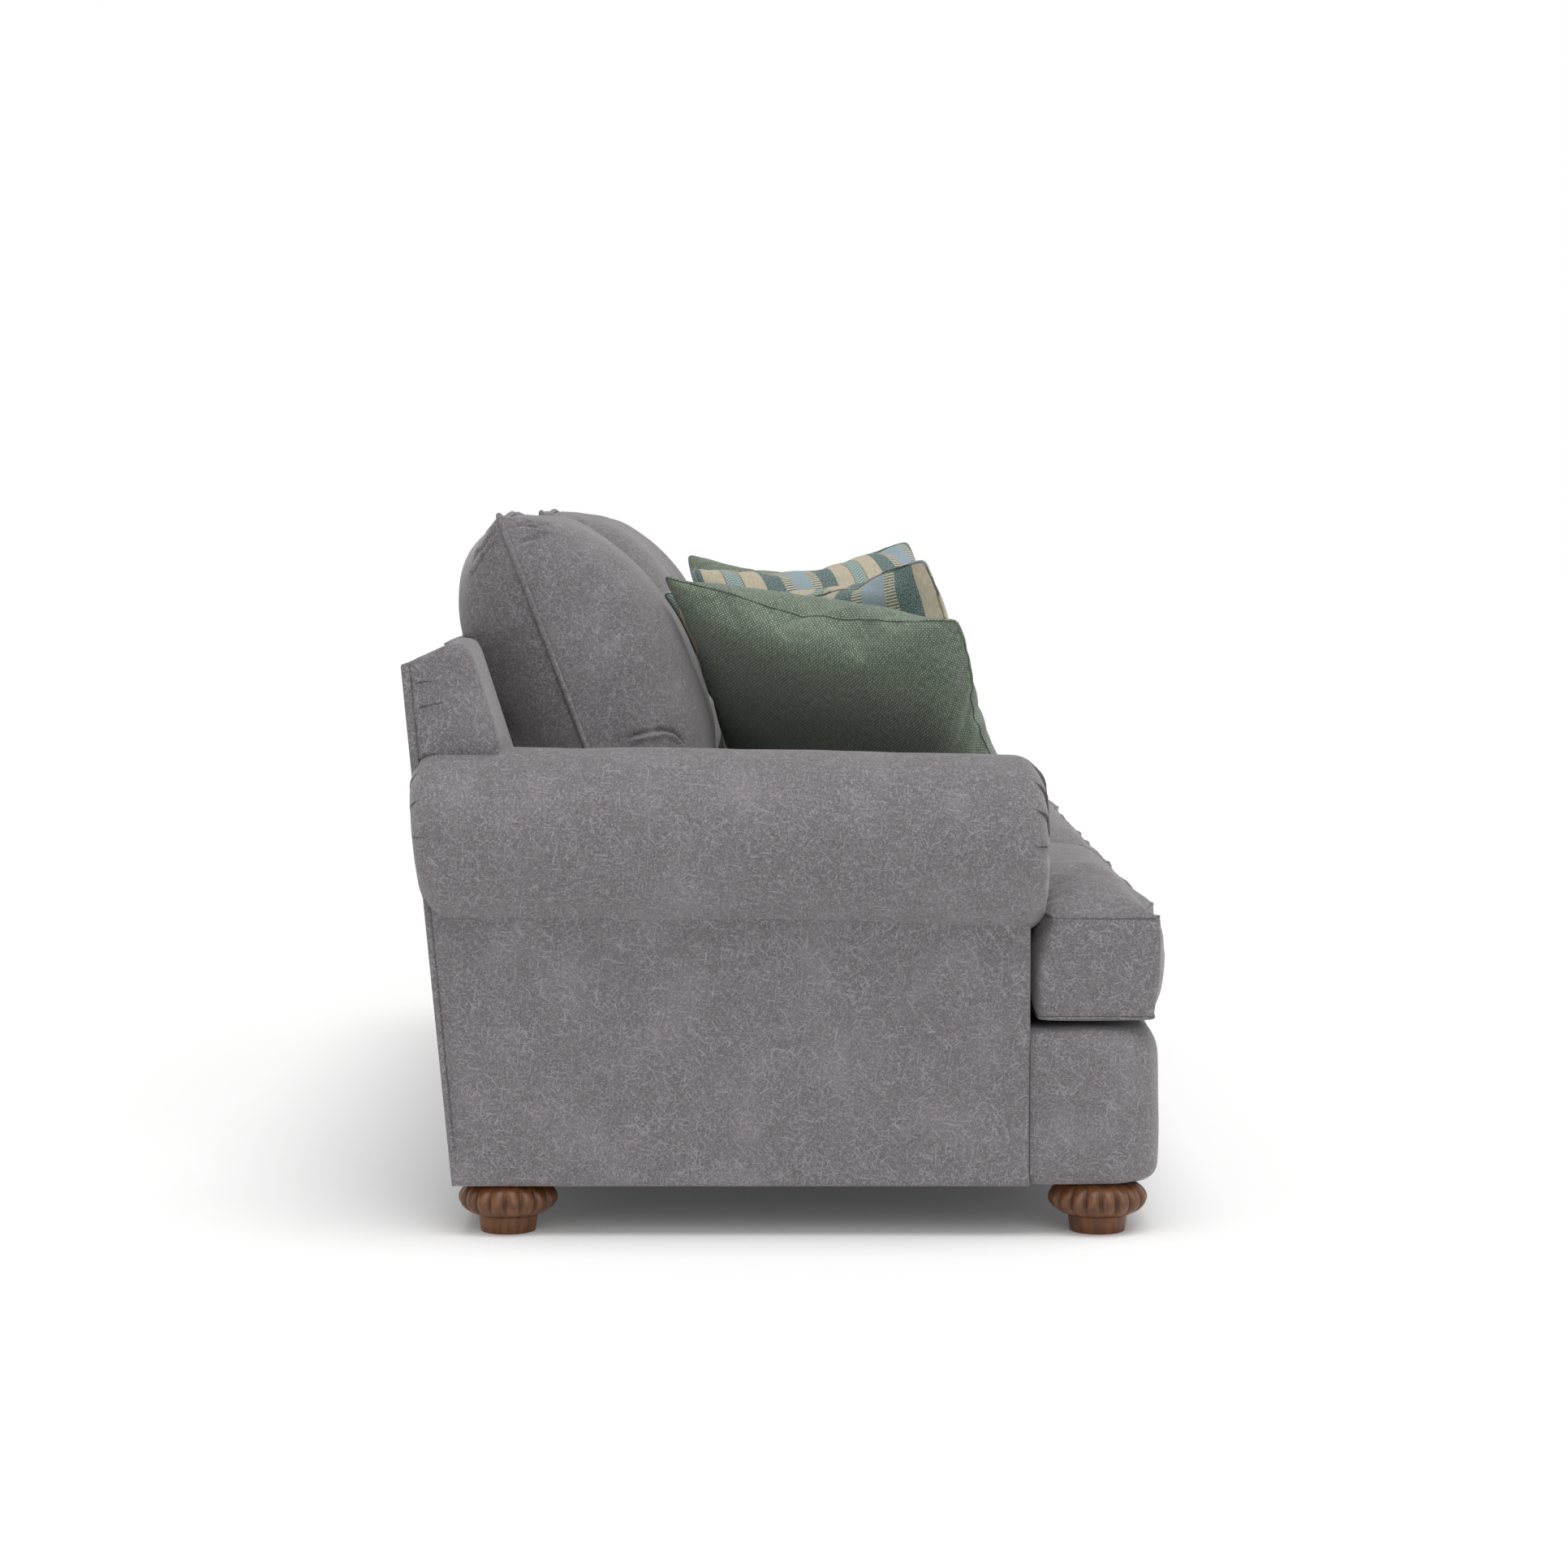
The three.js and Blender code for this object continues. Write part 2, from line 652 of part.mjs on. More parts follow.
function addBaseFront() {
  const rear = -armFront - clearance;
  const high = deckHeight - clearance;
  const layers = [];
  const angles = [0, 30, 60, 90];
  const inset = (degrees) => baseEdgeRadius * (1 - Math.sin(THREE.MathUtils.degToRad(degrees)));
  const rise = (degrees) => baseEdgeRadius * (1 - Math.cos(THREE.MathUtils.degToRad(degrees)));
  angles.forEach((degrees) => layers.push([inset(degrees), hemHeight + rise(degrees)]));
  angles.toReversed().forEach((degrees) => layers.push([inset(degrees), high - rise(degrees)]));
  const rings = layers.map(([amount, z]) => ringOf(basePlan(amount, rear), z));
  const centre = (z) => new THREE.Vector3(0, (rear - baseFront) / 2, z);
  const stuffed = loft(centre(hemHeight), rings, centre(high));
  const hollow = prismAlongZ(
    outline([
      [-panelInside, -baseFront + frontPadding, baseCornerRadius - frontPadding],
      [panelInside, -baseFront + frontPadding, baseCornerRadius - frontPadding],
      [panelInside, rear + cutOverrun], [-panelInside, rear + cutOverrun]], 6),
    hemHeight - cutOverrun, railTop + springWire + 2 * clearance);
  const railWay = block(
    [-railFace - clearance, railFace + clearance], [-baseFront + frontPadding + railThickness, rear],
    [hemHeight - cutOverrun, railTop + clearance]);
  addPiece('base_front', cut(stuffed, hollow, railWay), 'cloth');
}

function ringOf(shape, z) {
  return shape.getPoints().map((p) => new THREE.Vector3(p.x, p.y, z));
}

// Inside back: the padded front, top and ends of the back

function backSection(frontFoot, footLevel, frontTop, inset, low) {
  const top = backHeight + backTopRise - inset;
  const slope = (frontTop - frontFoot) / (backHeight + backTopRise - footLevel);
  const frontAt = (z) => frontTop + inset + (z - backHeight - backTopRise) * slope;
  const rear = inset ? cutOverrun : -clearance;
  const rearTop = backHeight + backRidge - inset;
  return outline([
    [frontAt(low), low], [panelBackAt(low) + rear, low],
    [panelBackAt(rearTop) + rear, rearTop], [frontAt(top), top, backEdgeRadius - inset / 2]], 5);
}

function addBack() {
  const low = deckHeight + clearance;
  const wingFoot = rollCentreHeight + rollRadius;
  const shelf = wingFoot - wingOverlap;
  const inside = armInside - clearance;
  const main = backSection(backFootFront, deckHeight, backTopFront, 0, low);
  const wing = backSection(wingFootFront, wingFoot, wingTopFront, 0, shelf);
  const whole = joined(
    prismAlongX(main, -inside, inside),
    prismAlongX(wing, -railFace, -inside + coverThickness),
    prismAlongX(wing, inside - coverThickness, railFace));
  const mainHollow = backSection(backFootFront, deckHeight, backTopFront, coverThickness, low - cutOverrun);
  const wingHollow = backSection(
    wingFootFront, wingFoot, wingTopFront, coverThickness, shelf - cutOverrun);
  const inner = railFace - coverThickness + clearance;
  const cover = cut(
    whole,
    prismAlongX(mainHollow, -inner, inner),
    prismAlongX(wingHollow, -inner, -inside),
    prismAlongX(wingHollow, inside, inner),
    rollShape(clearance, 1), rollShape(clearance, -1));
  addPiece('inside_back', cover, 'cloth');
  addPiece('outside_back', outsideBackShape(0), 'cloth');
}

// Deck and dust cover

function addDeck() {
  const half = armInside - clearance;
  const low = railTop + springWire + 2 * clearance;
  const deck = block([-half, half], [-armFront, backFootFront], [low, deckHeight]);
  addPiece('seat_deck', deck, 'lining');
}

function addDustCover() {
  const half = railFace;
  const low = railBottom - clearance - dustCoverThickness;
  const plan = outline([
    [-half, -baseFront + frontPadding + clearance, baseCornerRadius - frontPadding],
    [half, -baseFront + frontPadding + clearance, baseCornerRadius - frontPadding],
    [half, structureRearAt(low)], [-half, structureRearAt(low)]], 6);
  const sheet = prismAlongZ(plan, low, railBottom - clearance);
  const holes = [];
  for (const y of [-footAhead, footBehind]) {
    for (const sign of [-1, 1]) {
      holes.push(rod(
        footTopRadius + boltDiameter / 2, sign * footSpread, y, low - cutOverrun, railBottom, 24));
    }
  }
  addPiece('dust_cover', cut(sheet, ...holes), 'lining');
}

// Loose seat cushions

const evened = (t) => Math.sin((t * Math.PI) / 2);

// A box from -1 to 1 on every axis, to be warped into a cushion.
const unitBox = (columns, rows, layers) => new THREE.BoxGeometry(2, 2, 2, columns, rows, layers);

// A boxed cushion with crowned faces. The two end cushions reach out in front of the arms.
function seatCushion(left, right, ear) {
  const depth = seatFront + seatRear;
  const earBack = (2 * (seatFront - earRear)) / depth - 1;
  const rows = [
    ...seatRowShares.filter((v) => v < earBack), earBack, earBack + earStepShare,
    ...seatRowShares.filter((v) => v > earBack + earStepShare)];
  const rowAt = (share) => rows[Math.round(((share + 1) / 2) * (rows.length - 1))];
  const low = deckHeight + seatSag + clearance;
  return warp(unitBox(8, rows.length - 1, 3), (p) => {
    const u = evened(p.x);
    const v = rowAt(p.y);
    const w = p.z;
    const ahead = v <= earBack;
    const outer = ahead ? earSide - armInside + cushionGap : 0;
    const x0 = left - (ear < 0 ? outer : 0);
    const x1 = right + (ear > 0 ? outer : 0);
    const atCorner = Math.abs(u) > seatCornerShare && v < -seatCornerShare;
    const drawn = (ahead ? 0 : seatSideDraw * (1 - v * v)) + (atCorner ? seatCornerDraw : 0);
    const x = (x0 + x1) / 2 + ((x1 - x0) / 2) * u - Math.sign(u) * Math.abs(u) ** 3 * drawn;
    const bow = v < 0 ? seatFrontBow * (1 - u * u) * Math.abs(v) ** 3 : 0;
    const tuck = v === earBack ? Math.max(0, w) * earTuck : 0;
    const bulge = v < -seatCornerShare ? (1 - w * w) * seatSideDraw : 0;
    const round = atCorner ? seatCornerSetback : 0;
    const y = -seatFront + (depth * (v + 1)) / 2 - bow - tuck - bulge + round;
    const fall = Math.max(0, Math.abs(v) - seatPlateauShare) / (1 - seatPlateauShare);
    const crown = (1 - Math.abs(u) ** 4) * (1 - fall ** seatCrownPower);
    const z = w > 0
      ? THREE.MathUtils.lerp(low + seatSideHeight / 2, low + seatSideHeight + seatCrown * crown, w)
      : THREE.MathUtils.lerp(low + seatSideHeight / 2, low - seatSag * crown, -w);
    return new THREE.Vector3(x, y, z);
  });
}

// A knife-edge back cushion: full at the front, flatter behind, and flat where it stands.
function backCushion(left, right) {
  const lean = THREE.MathUtils.degToRad(backCushionLean);
  return warp(unitBox(8, 1, 10), (p) => {
    const u = evened(p.x);
    const v = evened(p.z);
    const power = v > 0 && p.y < 0 ? 2 : 4;
    const fullness = ((1 - u ** 4) * (1 - Math.abs(v) ** power)) ** backCushionFullness;
    const depth = p.y < 0 ? backCushionFrontDepth : backCushionRearDepth;
    const out = p.y * (backCushionSeam / 2 + depth * fullness);
    const up = ((v + 1) / 2) * backCushionHeight;
    const settle = p.y < 0 ? Math.max(0, -v) ** 3 * Math.sin(lean) * out : 0;
    const y = backCushionFoot + up * Math.sin(lean) + out * Math.cos(lean);
    const z = backCushionBase + up * Math.cos(lean) - out * Math.sin(lean) + settle;
    const drawn = 1 - backCushionDrawShare * (1 - v * v);
    return new THREE.Vector3((left + right) / 2 + ((right - left) / 2) * u * drawn, y, z);
  });
}

function addCushions() {
  const width = (2 * armInside - (seatCount + 1) * cushionGap) / seatCount;
  const names = ['right', 'middle', 'left'];
  return names.map((name, i) => {
    const left = -armInside + cushionGap + i * (width + cushionGap);
    const ear = i - (seatCount - 1) / 2;
    const seat = seatCushion(left, left + width, ear);
    addPiece(`seat_cushion_${name}`, seat, 'cloth');
    addPiece(`back_cushion_${name}`, settled(backCushion(left, left + width), seat), 'cloth');
    return seat;
  });
}

// A square knife-edge pillow. Its sides and top are drawn in between the corners, and it stands
// on a straight lower edge.
function pillowShape() {
  return warp(unitBox(8, 1, 8), (p) => {
    const u = evened(p.x);
    const v = evened(p.z);
    const fullness = ((1 - u * u) * (1 - v * v)) ** pillowFullness;
    const x = (pillowSize / 2) * u * (1 - pillowDrawShare * (1 - v * v));
    const z = (pillowSize / 2) * v * (1 - pillowDrawShare * (1 - u * u) * Math.max(0, v));
    return new THREE.Vector3(x, p.y * (pillowSeam / 2 + pillowDepth * fullness), z);
  });
}

// Leans a pillow in the corner of the sofa. The left-hand one mirrors the right-hand one.
function pillowMatrix({ inside, before, height, yaw, lean, roll }, sign) {
  const [turn, tip, spin] = [yaw, lean, roll].map(THREE.MathUtils.degToRad);
  const along = new THREE.Vector3(-Math.sin(turn), -Math.cos(turn), 0);
  const outward = new THREE.Vector3(-Math.cos(turn), Math.sin(turn), 0);
  const up = new THREE.Vector3(0, 0, Math.cos(tip)).addScaledVector(outward, Math.sin(tip));
  const wide = along.clone().multiplyScalar(Math.cos(spin)).addScaledVector(up, -Math.sin(spin));
  const tall = up.clone().multiplyScalar(Math.cos(spin)).addScaledVector(along, Math.sin(spin));
  for (const axis of [wide, tall]) axis.x *= -sign;
  const thick = tall.clone().cross(wide);
  const across = sign * (armInside - inside);
  const front = backCushionFoot - before;
  return new THREE.Matrix4().makeBasis(wide, thick, tall).setPosition(across, front, height);
}

function addPillows(seats) {
  for (const [side, sign, seat] of [['right', -1, seats[0]], ['left', 1, seats.at(-1)]]) {
    const green = pillowShape().applyMatrix4(pillowMatrix(greenPillow, sign));
    addPiece(`pillow_green_${side}`, settled(green, seat, pillowGap), 'green');
    const striped = pillowShape().applyMatrix4(pillowMatrix(stripedPillow, sign));
    addPiece(`pillow_striped_${side}`, settled(striped, seat, pillowGap), 'stripe');
  }
}

addFrame();
addSprings();
addFeet();
addArm('right', -1);
addArm('left', 1);
addBaseFront();
addBack();
addDeck();
addDustCover();
addPillows(addCushions());

// The origin stands under the middle of the sofa's box.
const whole = new THREE.Box3().setFromObject(sofa);
sofa.position.y = -(whole.min.y + whole.max.y) / 2;

export default sofa;
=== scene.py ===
"""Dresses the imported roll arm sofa: upholstery, loose cushions, toss pillows, bun feet and studio.

Metres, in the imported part's own frame: -Y is the front, +Z is up, +X is the sitter's left.
"""

import json
import math
from contextlib import contextmanager
from functools import cache

import bmesh
import bpy
import numpy as np
from bpy.props import FloatProperty, FloatVectorProperty, IntProperty, PointerProperty
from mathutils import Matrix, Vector
from mathutils.bvhtree import BVHTree
from mathutils.kdtree import KDTree


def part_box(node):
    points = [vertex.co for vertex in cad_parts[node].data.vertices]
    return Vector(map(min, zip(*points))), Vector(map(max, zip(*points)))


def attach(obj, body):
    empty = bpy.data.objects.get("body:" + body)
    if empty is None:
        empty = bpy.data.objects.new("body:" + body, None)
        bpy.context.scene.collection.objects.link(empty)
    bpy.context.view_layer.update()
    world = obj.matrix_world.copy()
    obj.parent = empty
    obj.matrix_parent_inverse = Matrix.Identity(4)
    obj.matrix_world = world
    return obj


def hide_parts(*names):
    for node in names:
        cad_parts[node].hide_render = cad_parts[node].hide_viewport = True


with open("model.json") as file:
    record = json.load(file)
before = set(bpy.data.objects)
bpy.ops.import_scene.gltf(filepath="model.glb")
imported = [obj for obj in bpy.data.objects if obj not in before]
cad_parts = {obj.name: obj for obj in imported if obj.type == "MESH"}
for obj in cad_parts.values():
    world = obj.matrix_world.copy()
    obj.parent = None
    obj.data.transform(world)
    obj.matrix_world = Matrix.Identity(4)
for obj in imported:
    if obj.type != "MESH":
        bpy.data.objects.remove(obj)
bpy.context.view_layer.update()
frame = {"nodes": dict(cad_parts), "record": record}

bl_info = {
    "name": "Roll Arm Sofa Dressing",
    "version": (1, 0, 0),
    "blender": (4, 5, 0),
    "location": "3D View > Sidebar > Sofa",
    "description": "Upholsters a roll arm sofa frame and sets it in a plain studio",
    "category": "Object",
}

SIDES = (("right", -1), ("left", 1))
SEATS = ("right", "middle", "left")
ARMS = ("arm_right", "arm_left")
SEAT_COVERS = [f"seat_cushion_{side}_cover" for side in SEATS]
BACK_COVERS = [f"back_cushion_{side}_cover" for side in SEATS]


# Sizes and colours that a user would change


def colour_setting(label, description, default):
    return FloatVectorProperty(
        name=label, description=description, subtype="COLOR", default=default, min=0, max=1)


def number_setting(label, description, default, low, high, **more):
    return FloatProperty(
        name=label, description=description, default=default, min=low, max=high, **more)


def length_setting(label, description, default, low, high):
    return number_setting(label, description, default, low, high, unit="LENGTH")


class UpholsteryLook(bpy.types.PropertyGroup):
    """The suede-like cloth of the sofa."""

    ground: colour_setting("Ground", "Colour between the hairs", (0.190, 0.174, 0.183))
    shade: colour_setting("Shade", "Colour of the darker nap", (0.105, 0.094, 0.100))
    pale: colour_setting("Hairs", "Colour of the fine pale hairs", (0.350, 0.326, 0.342))
    hair: length_setting("Hair size", "Width of a hair of the nap", 0.0009, 0.0002, 0.01)
    bend: length_setting("Bend", "How far the hairs curl", 0.006, 0, 0.05)


class PillowLook(bpy.types.PropertyGroup):
    """The woven cloths of the toss pillows."""

    green: colour_setting("Green", "Ground of the basket weave", (0.066, 0.101, 0.075))
    dot: colour_setting("Dot", "Pale yarn of the basket weave", (0.49, 0.55, 0.42))
    pitch: length_setting("Pitch", "Spacing of the basket weave's yarns", 0.0026, 0.0005, 0.02)
    linen: colour_setting("Linen", "Pale band of the stripe", (0.56, 0.50, 0.38))
    slate: colour_setting("Slate", "Tweed band of the stripe", (0.105, 0.150, 0.145))
    sky: colour_setting("Sky", "Pale blue band of the stripe", (0.36, 0.45, 0.50))
    teal: colour_setting("Teal", "Herringbone band of the stripe", (0.30, 0.40, 0.38))


class CushionSizes(bpy.types.PropertyGroup):
    """How the loose cushions are filled and sewn."""

    back_welt: length_setting(
        "Back welt", "Radius of the welt of the back cushions", 0.0039, 0.001, 0.02)
    seat_welt: length_setting(
        "Seat welt", "Radius of the welt of the seat cushions", 0.0025, 0.001, 0.02)
    pillow_welt: length_setting(
        "Pillow welt", "Radius of the welt of the toss pillows", 0.0021, 0.001, 0.02)
    voxel: length_setting("Cloth mesh", "Edge length of the simulated cloth", 0.0095, 0.004, 0.03)
    pressure: number_setting("Pressure", "Push of the filling on the cloth", 4.0, 0, 50)
    swell: length_setting("Swell", "Furthest that the filling pushes the cloth", 0.010, 0.001, 0.05)
    frames: IntProperty(
        name="Frames", description="Steps that the cloth takes to fill", default=10, min=1, max=60)


class StageSizes(bpy.types.PropertyGroup):
    """The studio and its camera."""

    distance: length_setting("Distance", "From the lens to the near arm", 4.9, 1, 20)
    eye: length_setting("Eye level", "Height of the lens", 0.960, 0, 4)
    lens: number_setting("Lens", "Focal length", 85, 10, 300)
    horizon: number_setting(
        "Horizon", "Pixels from the top of the picture to the horizon", 650, 0, 966)
    sky: number_setting("Fill", "Strength of the light from all round", 0.42, 0, 5)
    key: number_setting("Key", "Strength of the broad light overhead", 1.60, 0, 20)
    side: number_setting("Side", "Strength of the light on the near arm", 0.72, 0, 20)


def look():
    return bpy.context.scene.sofa_upholstery


def weave_look():
    return bpy.context.scene.sofa_pillows


def sizes():
    return bpy.context.scene.sofa_cushions


# Materials: sockets that take part in plain arithmetic


def times(values, factor):
    """A colour or a vector with each of its numbers multiplied."""
    return tuple(factor * value for value in values)


class Signal:
    """A socket of a material. Arithmetic on it adds Math nodes."""

    def __init__(self, finish, socket):
        self.finish = finish
        self.socket = socket

    def math(self, operation, *values):
        sockets = dict(enumerate(values))
        return self.finish.node("ShaderNodeMath", {"operation": operation}, sockets)

    def __add__(self, other):
        return self.math("ADD", self, other)

    __radd__ = __add__

    def __sub__(self, other):
        return self.math("SUBTRACT", self, other)

    def __rsub__(self, other):
        return self.math("SUBTRACT", other, self)

    def __mul__(self, other):
        return self.math("MULTIPLY", self, other)

    __rmul__ = __mul__

    def __truediv__(self, other):
        return self.math("DIVIDE", self, other)

    def __gt__(self, other):
        return self.math("GREATER_THAN", self, other)

    def __mod__(self, other):
        return self.math("FLOORED_MODULO", self, other)

    def floor(self):
        return self.math("FLOOR", self)

    def sine(self):
        return self.math("SINE", self)

    def magnitude(self):
        return self.math("ABSOLUTE", self)

    def larger(self, other):
        return self.math("MAXIMUM", self, other)

    def ramp(self, low, high):
        """From 0 at low to 1 at high, smoothly."""
        return self.finish.node(
            "ShaderNodeMapRange", {"interpolation_type": "SMOOTHSTEP"},
            {"Value": self, "From Min": low, "From Max": high})


class Nodes:
    """A tree of shader nodes in the making."""

    def __init__(self, tree):
        self.tree = tree

    def node(self, kind, settings=None, sockets=None, output=0):
        """Adds a node: first its settings, then the values or links of its sockets."""
        made = self.tree.nodes.new(kind)
        for name, value in (settings or {}).items():
            setattr(made, name, value)
        for name, value in (sockets or {}).items():
            self.feed(made.inputs[name], value)
        return Signal(self, made.outputs[output])

    def feed(self, socket, value):
        if isinstance(value, Signal):
            self.tree.links.new(value.socket, socket)
        elif socket.type == "RGBA":
            socket.default_value = (*value, 1.0)
        else:
            socket.default_value = value

    def seen(self):
        """1 where the camera looks, straight or in a reflection, and 0 for the light."""
        camera = self.node("ShaderNodeLightPath", output="Is Camera Ray")
        return camera.larger(self.node("ShaderNodeLightPath", output="Is Glossy Ray"))


class Finish(Nodes):
    """A material in the making."""

    def __init__(self, name, **fixed):
        self.material = bpy.data.materials.new(name)
        self.material.use_nodes = True
        super().__init__(self.material.node_tree)
        self.shader = self.tree.nodes["Principled BSDF"]
        for socket, value in fixed.items():
            self.shader.inputs[socket.replace("_", " ")].default_value = value

    def mix(self, share, first, second, blend="MIX"):
        """A colour between two, or one laid on the other."""
        settings = {"data_type": "RGBA", "blend_type": blend}
        return self.node("ShaderNodeMix", settings, {0: share, 6: first, 7: second}, 2)

    def place(self):
        return self.node("ShaderNodeTexCoord", output="Object")

    def along_cloth(self):
        """Where a point lies on the flat cloth, in metres."""
        return self.node("ShaderNodeAttribute", {"attribute_name": "cloth"}, output="Vector")

    def mark(self, name):
        """A number kept at the corners of the mesh, 0 where there is none."""
        return self.node("ShaderNodeAttribute", {"attribute_name": name}, output="Fac")

    def split(self, vector):
        made = self.node("ShaderNodeSeparateXYZ", sockets={0: vector})
        outputs = made.socket.node.outputs
        return [Signal(self, outputs[i]) for i in range(3)]

    def scaled(self, vector, factors):
        return self.node("ShaderNodeVectorMath", {"operation": "MULTIPLY"}, {0: vector, 1: factors})

    def shifted(self, vector, by, amount):
        """A vector moved by a colour's noise."""
        centred = self.node(
            "ShaderNodeVectorMath", {"operation": "SUBTRACT"}, {0: by, 1: (0.5, 0.5, 0.5)})
        return self.node(
            "ShaderNodeVectorMath", {"operation": "MULTIPLY_ADD"},
            {0: centred, 1: (amount, amount, amount), 2: vector})

    def noise(self, vector, scale, detail=2.0, roughness=0.5, output="Fac"):
        return self.node(
            "ShaderNodeTexNoise", None,
            {"Vector": vector, "Scale": scale, "Detail": detail, "Roughness": roughness}, output)

    def cells(self, vector, scale):
        return self.node("ShaderNodeTexVoronoi", None, {"Vector": vector, "Scale": scale})

    def surface(self, colour, roughness=None, height=None, relief=1.0, depth=0.001):
        """Ends the material with its colour, roughness and relief."""
        self.feed(self.shader.inputs["Base Color"], colour)
        if roughness is not None:
            self.feed(self.shader.inputs["Roughness"], roughness)
        if height is not None:
            bump = self.node(
                "ShaderNodeBump", None, {"Strength": relief, "Distance": depth, "Height": height})
            self.feed(self.shader.inputs["Normal"], bump)
        return self.material


NAP_TURNS = (
    (0.15, 0.0, 0.0), (0.95, 0.0, 0.0), (1.70, 0.0, 0.0), (2.45, 0.0, 0.0), (0.0, 1.5, 0.0),
    (0.0, 0.8, 0.0), (0.0, -0.8, 0.0), (1.57, 0.0, 0.8), (1.57, 0.0, -0.8))


def suede():
    """Short-napped cloth with fine pale hairs lying every way, a little cloudy."""
    finish = Finish("Upholstery", Sheen_Weight=0.3, Sheen_Roughness=0.5, Specular_IOR_Level=0.2)
    place = finish.place()
    bent = finish.shifted(place, finish.noise(place, 75, 1, output="Color"), look().bend)

    def hairs(turn, size):
        """Hairs that lie along one direction, each as long as twelve of its widths."""
        laid = finish.node(
            "ShaderNodeMapping", {"vector_type": "TEXTURE"},
            {"Vector": bent, "Rotation": turn, "Scale": (1.0, 1.0, 12.0)})
        return finish.noise(laid, 0.36 / size, 1, 0.5).ramp(0.625, 0.73)

    strokes = hairs(NAP_TURNS[0], look().hair)
    for number, turn in enumerate(NAP_TURNS[1:]):
        strokes = strokes.larger(hairs(turn, look().hair * (0.9 + 0.07 * (number % 4))))
    crazed = 1 - (finish.noise(bent, 170, 2, 0.6) - 0.5).magnitude().ramp(0.0, 0.016)
    fuzz = finish.noise(place, 700, 2, 0.75)
    cloud = finish.noise(place, 10, 3, 0.6)
    drift = finish.noise(place, 38, 2, 0.5)
    shade, pale = look().shade, look().pale
    strokes = strokes.larger(0.7 * crazed)
    colour = finish.mix(fuzz.ramp(0.36, 0.64), shade, look().ground)
    colour = finish.mix(strokes * (0.55 + 0.25 * drift.ramp(0.35, 0.68)), colour, pale)
    colour = finish.mix(0.20 * cloud.ramp(0.46, 0.74), colour, pale)
    colour = finish.mix(0.16 * drift.ramp(0.5, 0.75), colour, shade)
    # Painted shade in folds and pleats and where the welts meet the cloth.
    colour = finish.mix(0.85 * finish.mark("painted_shade"), colour, times(shade, 0.2))
    return finish.surface(colour, 0.84 + 0.1 * fuzz, 0.5 * fuzz + 0.4 * strokes, 0.35, 0.0006)


def basket():
    """A plain weave of dark green yarn with pale yarn crossing it."""
    finish = Finish("Basket weave", Sheen_Weight=0.25, Sheen_Roughness=0.5, Specular_IOR_Level=0.25)
    dyes = weave_look()
    cloth = finish.along_cloth()
    across, along, _ = finish.split(cloth)
    u = across / dyes.pitch + 0.6 * finish.noise(cloth, 35, 2)
    v = along / dyes.pitch + 0.6 * finish.noise(cloth, 48, 2)
    over = (u.floor() + v.floor()) % 2.0
    bead = (math.pi * (u % 1.0)).sine() * (math.pi * (v % 1.0)).sine()
    slub = finish.noise(finish.scaled(cloth, (1, 0.25, 1)), 420, 2)
    tone = finish.noise(cloth, 16, 2)
    dark = finish.mix(slub, times(dyes.green, 0.55), dyes.green)
    pale = finish.mix(slub.ramp(0.3, 0.7), times(dyes.green, 2.3), dyes.dot)
    # The pale dots follow each float's dome, and the dark yarn is painted lighter at its crowns:
    # painted highlight and shade on the yarn.
    colour = finish.mix(over * bead.ramp(0.10, 0.60), dark, pale)
    colour = finish.mix(0.42 * (1 - over) * bead, colour, pale)
    colour = finish.mix(0.16 * tone, colour, dyes.dot)
    # Painted shade on the welt cord where it meets the pillow.
    colour = finish.mix(0.8 * finish.mark("painted_shade"), colour, times(dyes.green, 0.12))
    return finish.surface(colour, 0.9 - 0.1 * bead, bead * (0.6 + 0.4 * over), 0.6, 0.0011)


# The bands of the striped cloth from the middle of the blue one outwards: kind and width in mm.
HALF_REPEAT = (("sky", 17), ("ladder", 17), ("slate", 32), ("linen", 35), ("line", 2), ("teal", 13))
MM = 0.001
CREAM = (0.62, 0.55, 0.38)
LINE_DARK = (0.17, 0.12, 0.05)
LINE_LIGHT = (0.34, 0.25, 0.11)
# Colour of the painted shade where a welt meets the striped cloth.
STRIPE_PAINTED_SHADE = (0.05, 0.04, 0.025)


